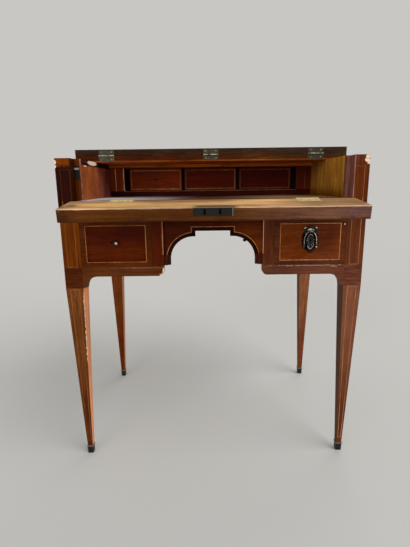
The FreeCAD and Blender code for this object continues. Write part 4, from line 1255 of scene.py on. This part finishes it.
@dataclass
class Drawers:
    """Two drawers beside the kneehole and three small ones above the bed."""

    stringing: Stringing
    inner: float = 178.0
    outer: float = 336.5
    low: float = 592.5
    high: float = 689.5
    small_inset: tuple[float, float, float] = (4.0, 5.2, 7.0)
    small_line: float = 4.2

    def span(self, side: int) -> list[float]:
        """Where the lines of the left (minus one) or right (one) drawer start and end along X."""
        return sorted((side * self.inner, side * self.outer))

    def field(self, side: int, wood: Wood) -> Zone:
        """The veneer inside a drawer's lines."""
        return Zone((Slab(X, *self.span(side)), Slab(Z, self.low, self.high)), wood)

    def build_large(self) -> None:
        """Dress the two large drawers and lay a rectangle of lines on each front."""
        margin = DRAWER_VENEER.toned("#522407", figure_mm=6, stretch=14)
        # The left drawer's field is darker, partly for its veneer and partly as painted shade where
        # the light falls off to the left; it is lighter low down, below the painted shade of the
        # fall.
        left = DRAWER_VENEER.toned("#461100")
        low = Zone((Slab(Z, 600, 640, 16), Slab(X, -330, -185, 10)), left.toned("#5e2000"),
                   amount=0.9)
        shadow = Spot((-263, FRONT, 645), (8, 3, 4), Wood("#1c0802", 0.2, roughness=0.6),
                      raggedness=0.5, soft=0.3)
        dress("left_drawer_front", Board("french-polished mahogany, left drawer", margin,
                                         (self.field(-1, left), low), (shadow,)))
        right = DRAWER_VENEER.toned("#72340d", seed=3.3)
        redder = Zone((Slab(X, 262, 336, 20), Slab(Z, self.low, self.high)), right.toned("#652f14"))
        # Painted shadow of the mount round it, over the wax and dust packed there.
        mount_shadow = Spot((256, FRONT, 647), (22, 4, 34), Wood("#080201", 0.2, roughness=0.6),
                     raggedness=0.6, soft=0.14)
        nick = Spot((346, FRONT, 687), (1.6, 3, 2.2))
        dress("right_drawer_front", Board("french-polished mahogany, right drawer",
                                          margin.toned("#552a16"),
                                          (self.field(1, right), redder), (mount_shadow, nick)))
        for name, side, tone in (("left", -1, "#a2622f"), ("right", 1, "#bc7e50")):
            start, end = self.span(side)
            shell = self.stringing.rectangle((start, self.low), (end, self.high), FRONT)
            self.stringing.lay(name + "_drawer_stringing", shell, name + " drawer", tone,
                               name + "_drawer")
        dress("right_drawer_lock", IRON)

    def build_small(self) -> None:
        """Dress the three small drawers and their lines."""
        side, below, above = self.small_inset
        broad = replace(self.stringing, width=self.small_line)
        for name, tone, light in (("left", "#822d01", "#a06638"), ("middle", "#5c1701", "#80502c"),
                                  ("right", "#4c0f01", "#623e24")):
            body = name + "_small_drawer"
            first, last = corner(body + "_front", 0), corner(body + "_front", 1)
            veneer = DRAWER_VENEER.toned(tone, spread=0.25, figure_mm=10)
            # Fingers pull these drawers by the rubbed, soiled spot in the middle of the front.
            middle = (first + last) / 2
            soil = Spot((middle[0], first[1], middle[2]), (9, 3, 2.6), veneer.toned("#240a02"),
                        1.8, 0.2)
            dress(body + "_front", Board("french-polished mahogany, %s small drawer" % name,
                                         veneer, spots=(soil,) if name == "left" else ()))
            shell = broad.rectangle((first[0] + side, first[2] + below),
                                    (last[0] - side, last[2] - above), first[1])
            self.stringing.lay(body + "_stringing", shell, name + " small drawer", light, body)

    def build(self) -> None:
        """Dress all five drawers."""
        self.build_large()
        self.build_small()
        boxes = tuple(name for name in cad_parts
                      if name.endswith(("_carcase", "_drawer_bottom")))
        dress(boxes, Board("bare oak, drawer boxes", replace(CARCASE_OAK, seed=2.0)))


@dataclass
class Knob:
    """Turned bronze knob of the left drawer."""

    head_round: float = 0.92
    rose_rise: float = 1.3
    highlight_side: tuple[float, float] = (0.6, 0.8)

    def build(self) -> None:
        """Turn a rose, a waisted neck and a flattened round head about the knob's axis."""
        low, high = corner("left_drawer_knob", 0), corner("left_drawer_knob", 1)
        centre = (low + high) / 2
        reach, radius = high[1] - low[1], (high[0] - low[0]) / 2
        angle = np.linspace(-0.36 * np.pi, 0.5 * np.pi, 14)
        drop = self.head_round * radius
        head = np.stack([radius * np.cos(angle), reach - drop + drop * np.sin(angle)], axis=-1)
        head[-1, 0] = 0.0
        neck = np.array([[0.0, -0.3], [0.86, -0.3], [0.9, 0.6], [0.8, self.rose_rise], [0.55, 1.6],
                         [0.42, 2.6], [0.38, 4.0]]) * np.array([radius, 1.0])
        shell = turned(np.vstack([neck, head])).placed(
            np.array([centre[0], high[1], centre[2]]), FACING_FRONT)
        # Bronze, dark in the neck, with a painted highlight on the side towards the light.
        across, ahead = self.highlight_side
        painted_highlight = Slab((across, -ahead, 0.0),
                     across * centre[0] - ahead * (low[1] + drop) + radius - 0.2 * radius, FAR, 0.6)
        finish = Metal("bronze knob", "#3c2c1e", "#120c08", metallic=0.5, roughness=0.36,
                       rubbed=(painted_highlight,), wear_and_highlight_tone="#e8dac4")
        piece = make_piece("turned_knob", shell, finish.build(), "left_drawer", True)
        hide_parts("left_drawer_knob")


@dataclass
class Ornament:
    """Keyhole ornament: oval medallion, ribbon bow, and two garlands of husks."""

    width: float = 20.0
    height: float = 42.5
    drop: float = 1.5
    hole_rise: float = 3.0
    hole_radius: float = 2.2
    slot_half: float = 1.1
    slot_length: float = 7.0
    plate: float = 0.9
    bow_rise: float = 31.0
    loop_middle: float = 9.2
    loop_reach: float = 7.8
    loop_height: float = 4.8
    ribbon: float = 1.7
    tail_reach: float = 14.5
    tail_drop: float = 7.5
    garland_place: float = 16.2
    garland_spring: float = 2.0
    garland_arch: float = 24.0
    husk_length: float = 5.4
    husk_pitch: float = 4.4
    crest: float = 4.2
    high_spot_depth: float = 0.55

    def medallion(self) -> Shell:
        """Make an oval plate with a pierced keyhole.

        A point lies a share of the way from the keyhole's outline to the oval, and its height
        is that of the plate with three rims added as bells, at an eighth, at half and near
        the end of the way.

        Returns:
            The plate, closed at its back.
        """
        angle = np.linspace(0, 2 * np.pi, 96, endpoint=False)
        down = np.where(np.sin(angle) < 0, np.minimum(
            self.slot_length / np.maximum(-np.sin(angle), 1e-6),
            self.slot_half / np.maximum(np.abs(np.cos(angle)), 1e-6)), 0)
        reach = np.maximum(self.hole_radius, down)
        hole = np.stack([reach * np.cos(angle), self.hole_rise + reach * np.sin(angle)], axis=-1)
        oval = np.stack([self.width / 2 * np.cos(angle),
                         self.height / 2 * np.sin(angle) - self.drop], axis=-1)
        share = np.linspace(0, 1, 30)
        flat = hole[None] + share[:, None, None] * (oval - hole)[None]
        rise = (self.plate + 2.7 * np.exp(-((share - 0.12) / 0.09) ** 2)
                + 2.9 * np.exp(-((share - 0.5) / 0.07) ** 2)
                + 3.3 * np.exp(-((share - 0.88) / 0.075) ** 2))
        height = np.broadcast_to(rise[:, None], flat.shape[:2])
        front = np.concatenate([flat, height[..., None]], axis=-1)
        back = np.concatenate([flat[::-1], np.full(flat.shape[:2] + (1,), -0.2)], axis=-1)
        rings = np.concatenate([front, back])
        return Shell(rings.reshape(-1, 3), grid_faces(len(rings), len(angle), True, True))

    def bow(self) -> Shell:
        """Tie two drooping ribbon loops, their tails and the knot.

        A loop's point goes round an oval that is narrow at the knot and full at its end, and a
        tail runs outwards and down in a shallow wave.

        Returns:
            The bow.
        """
        turn = np.linspace(0, 2 * np.pi, 40, endpoint=False)
        run = np.linspace(0, 1, 16)
        full = 0.55 + 0.45 * (1 - np.cos(turn)) / 2
        loop_rise = 2.6 - self.loop_height * np.sin(turn) * full + 1.2 * np.cos(turn)
        tail_rise = -0.5 - self.tail_drop * run + 1.6 * np.sin(run * np.pi * 2)
        parts = []
        for side in (-1, 1):
            loop = np.stack([side * (self.loop_middle - self.loop_reach * np.cos(turn)),
                             self.bow_rise + loop_rise, 2.1 + 0.9 * np.sin(2 * turn)], axis=-1)
            tail = np.stack([side * (1.0 + self.tail_reach * run), self.bow_rise + tail_rise,
                             1.5 + 1.2 * np.sin(run * np.pi * 1.6)], axis=-1)
            parts += [tube(loop, np.full(40, self.ribbon), OUTWARD, True, 0.8),
                      tube(tail, 2.0 - 0.9 * run, OUTWARD, False, 0.7)]
        knot = turned(np.array([[0, -2.6], [1.9, -2.1], [3.0, -0.7], [3.2, 0.7], [2.2, 2.4],
                                [0, 3.0]]), 16)
        return joined(parts + [knot.placed(np.array([0, self.bow_rise, 2.0]))])

    def husk(self, radius: float) -> Shell:
        """A bellflower: a bud that widens to a hollow mouth."""
        length = self.husk_length
        return turned(np.array([[0.0, length * 0.5], [radius * 0.55, length * 0.42],
                                [radius * 0.8, 0.1], [radius, -length * 0.4],
                                [radius * 0.7, -length * 0.5], [0.0, -length * 0.3]]), 12)

    def garland(self, side: int) -> Shell:
        """Hang husks on a line that curves over the medallion and then goes straight down.

        The curve is a quarter of an oval: across by the sine and up by the cosine of its angle.

        Args:
            side: minus one for the left garland, one for the right one.

        Returns:
            The husks, the drop below them and the line.
        """
        arc = np.radians(np.arange(8, 90, 9.0))
        curve = np.stack([self.garland_place * np.sin(arc),
                          self.garland_spring + self.garland_arch * np.cos(arc)], axis=-1)
        hang = np.stack([np.full(3, self.garland_place),
                         self.garland_spring - self.husk_pitch * np.arange(3)], axis=-1)
        points = np.vstack([curve, hang])
        ahead = np.gradient(points, axis=0)
        ahead /= np.linalg.norm(ahead, axis=1, keepdims=True)
        parts = []
        for point, way, radius in zip(points, ahead, np.linspace(1.5, 2.3, len(points))):
            axis = np.array([side * way[0], way[1], 0])
            across = np.array([axis[1], -axis[0], 0])
            place = np.array([side * point[0], point[1], self.crest - radius])
            parts.append(self.husk(radius).placed(
                place, np.stack([across, OUTWARD, -axis], axis=1)))
        drop = turned(np.array([[0, 3.0], [1.5, 2.0], [1.1, 0.6], [2.5, -3.6], [1.7, -6.6],
                                [0, -7.4]]), 14)
        end = np.array([side * points[-1, 0], points[-1, 1] - 4.6, self.crest - 2.4])
        string = np.column_stack([side * points[:, 0], points[:, 1],
                                  np.full(len(points), self.plate)])
        return joined(parts + [drop.placed(end, UPENDED),
                               tube(string, np.full(len(points), 1.0), OUTWARD, False, 1.0, 8)])

    def build(self) -> None:
        """Join the parts on the drawer front and replace the plain ornament."""
        low, high = corner("right_drawer_lock", 0), corner("right_drawer_lock", 1)
        middle = (low + high) / 2
        link = np.stack([np.zeros(8), np.linspace(20, 31, 8), np.full(8, 1.2)], axis=-1)
        shell = joined((self.medallion(), self.bow(), self.garland(-1), self.garland(1),
                        tube(link, np.full(8, 1.8), OUTWARD, False)))
        shell = shell.placed(np.array([middle[0], FRONT, middle[2]]), FACING_FRONT)
        # Gilt bronze gone black, with black wax in every hollow; its high spots are silvery, partly
        # from rubbing and partly as a painted highlight.
        high_spots = Slab((0, -1, 0), -FRONT + self.crest - self.high_spot_depth, FAR, 0.3)
        finish = Metal("black bronze mount", "#2b2c30", "#060505", metallic=0.35, roughness=0.4,
                       spot_mm=2.5, rubbed=(high_spots,), wear_and_highlight_tone="#e4e2d8", patch_mm=7.0)
        piece = make_piece("keyhole_ornament", shell, finish.build(), "right_drawer",
                           True)
        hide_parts("right_drawer_ornament")


@dataclass
class Screws:
    """Countersunk screws of the butt hinges, their heads worn nearly flush."""

    radius: float = 2.1
    rise: float = 0.35
    lid_hinges: tuple[float, ...] = (-315.0, 0.0, 315.0)
    lid_spread: float = 15.0
    lid_reach: float = 10.5
    fall_hinges: tuple[float, ...] = (-230.0, 238.5)
    fall_spread: float = 19.0
    fall_reach: float = 24.0

    def lay(self, name: str, places: list, turn: np.ndarray, finish: bpy.types.Material,
            body: str) -> None:
        """Set a flat dome at each place, and join them into one piece.

        Args:
            name: the piece's name.
            places: where the heads lie.
            turn: the turn that stands a head on its leaf.
            finish: the screws' metal.
            body: the CAD body that they move with.
        """
        dome = turned(np.array([[0.0, -0.4], [self.radius, -0.4], [self.radius, 0.05],
                                [self.radius * 0.8, self.rise * 0.7], [0.0, self.rise]]), 14)
        heads = joined(dome.placed(np.array(place), turn) for place in places)
        make_piece(name, heads, finish, body, True)

    def build(self) -> None:
        """Set two screws in each leaf of the lid's hinges, and three in each of the fall's."""
        face = corner("lid_leaf", 0)[1]
        steel = Metal("worn steel screws", "#988c6c", "#4a4230", metallic=0.4).build()
        for name, side, body in (("fixed", -1, "case"), ("moving", 1, "lid")):
            places = [(x + step, face, LID_JOINT + side * self.lid_reach)
                      for x in self.lid_hinges for step in (-self.lid_spread, self.lid_spread)]
            self.lay("lid_hinge_%s_screws" % name, places, FACING_FRONT, steel, body)
        # Dirt has filled the slots of the screws that papers and sleeves slide over.
        dirty = Metal("soiled brass screws", "#5c4c26", "#2c2110", metallic=0.4).build()
        cosine, sine = math.cos(FALL_DROOP), math.sin(FALL_DROOP)
        tilt = np.array([[1.0, 0, 0], [0, cosine, -sine], [0, sine, cosine]])
        for name, turn, ahead, rise, body in (
                ("bed_hinge_screws", np.eye(3), self.fall_reach, 0.0, "writing_slide"),
                ("fall_hinge_screws", tilt, -self.fall_reach * cosine, -self.fall_reach * sine,
                 "fall")):
            places = [(x + step, HINGE_LINE[1] + ahead, BED_TOP + rise) for x in self.fall_hinges
                      for step in (-self.fall_spread, 0.0, self.fall_spread)]
            self.lay(name, places, turn, dirty, body)


@dataclass
class Studio:
    """Plain floor, soft light and the photographer's viewpoint."""

    floor: str = "#cccbc8"
    backdrop: str = "#c9c7c3"
    camera_place: tuple[float, float, float] = (-0.0212, -1.2464, 0.7911)
    pitch: float = math.radians(12.679)
    roll: float = math.radians(-0.7254)
    yaw: float = math.radians(0.055)
    lens: float = 34.53
    ambient: float = 0.38
    floor_start: float = 0.5
    floor_reach: float = 60.0
    floor_rings: int = 14

    def build_camera(self) -> None:
        """Stand the camera where the photograph was taken from."""
        right = Vector((math.cos(self.yaw), math.sin(self.yaw), 0))
        ahead = Vector((-math.sin(self.yaw) * math.cos(self.pitch),
                        math.cos(self.yaw) * math.cos(self.pitch), -math.sin(self.pitch)))
        up = right.cross(ahead)
        side = math.cos(self.roll) * right + math.sin(self.roll) * up
        top = -math.sin(self.roll) * right + math.cos(self.roll) * up
        camera = bpy.data.cameras.new("camera")
        camera.lens, camera.sensor_width, camera.sensor_fit = self.lens, 36, "HORIZONTAL"
        camera.clip_start = 0.01
        holder = bpy.data.objects.new("camera", camera)
        matrix = Matrix((side, top, -ahead)).transposed().to_4x4()
        matrix.translation = Vector(self.camera_place)
        holder.matrix_world = matrix
        bpy.context.collection.objects.link(holder)
        bpy.context.scene.camera = holder

    def build_floor(self) -> None:
        """Lay a wide plain floor under the desk: rings of points, each wider by one ratio."""
        rings = np.geomspace(self.floor_start, self.floor_reach, self.floor_rings)
        radius = np.concatenate([[0.0], rings]) / MM
        shell = turned(np.stack([radius, np.zeros(len(radius))], axis=-1), 48)
        mesh = bpy.data.meshes.new("floor")
        mesh.from_pydata((shell.vertices * MM).tolist(), [], shell.faces)
        material, tree = new_material("studio floor paper")
        shader = add(tree, "BsdfPrincipled",
                     {"Base Color": linear(self.floor), "Roughness": 0.95,
                      "Specular IOR Level": 0.0})
        finish_tree(tree, shader)
        mesh.materials.append(material)
        floor = bpy.data.objects.new("floor", mesh)
        bpy.context.collection.objects.link(floor)

    def build_light(self) -> None:
        """Set a broad key on the right, a low fill in front, a weak rim and soft sky light."""
        world = bpy.data.worlds.new("studio")
        bpy.context.scene.world = world
        world.use_nodes = True
        tree = world.node_tree
        tree.nodes.clear()
        rays = add(tree, "LightPath").outputs
        seen = rays["Is Camera Ray"]
        for name in ("Is Glossy Ray", "Is Transmission Ray"):
            seen = add(tree, "Math", {0: seen, 1: rays[name]}, operation="MAXIMUM").outputs[0]
        soft = add(tree, "Background", {"Color": linear("#fffdf8"), "Strength": self.ambient})
        shown = add(tree, "Background", {"Color": linear(self.backdrop), "Strength": 1.0})
        mixed = add(tree, "MixShader", {0: seen, 1: soft.outputs[0], 2: shown.outputs[0]})
        add(tree, "OutputWorld", {"Surface": mixed.outputs[0]})
        for name, strength, azimuth, height, spread in (("key", 1.8, 58, 40, 55),
                                                        ("fill", 1.5, -25, 8, 50),
                                                        ("rim", 0.7, 155, 35, 50)):
            lamp = bpy.data.lights.new(name, "SUN")
            lamp.energy = strength
            lamp.angle = math.radians(spread)
            holder = bpy.data.objects.new(name, lamp)
            turn, rise = math.radians(azimuth), math.radians(height)
            place = Vector((math.sin(turn) * math.cos(rise), -math.cos(turn) * math.cos(rise),
                            math.sin(rise)))
            holder.rotation_euler = place.to_track_quat("Z", "Y").to_euler()
            bpy.context.collection.objects.link(holder)

    def build(self) -> None:
        """Build the camera, the floor and the light."""
        bpy.context.scene.view_settings.view_transform = "Standard"
        self.build_camera()
        self.build_floor()
        self.build_light()


def main() -> None:
    """Dress the desk, part by part, and set up the studio."""
    logging.basicConfig(level=logging.INFO, format="%(message)s")
    stringing = Stringing()
    for part in (Studio(), Legs(stringing), Case(stringing), Top(), Bed(), Drawers(stringing),
                 Knob(), Ornament(), Screws()):
        part.build()


if __name__ == "__main__":
    main()
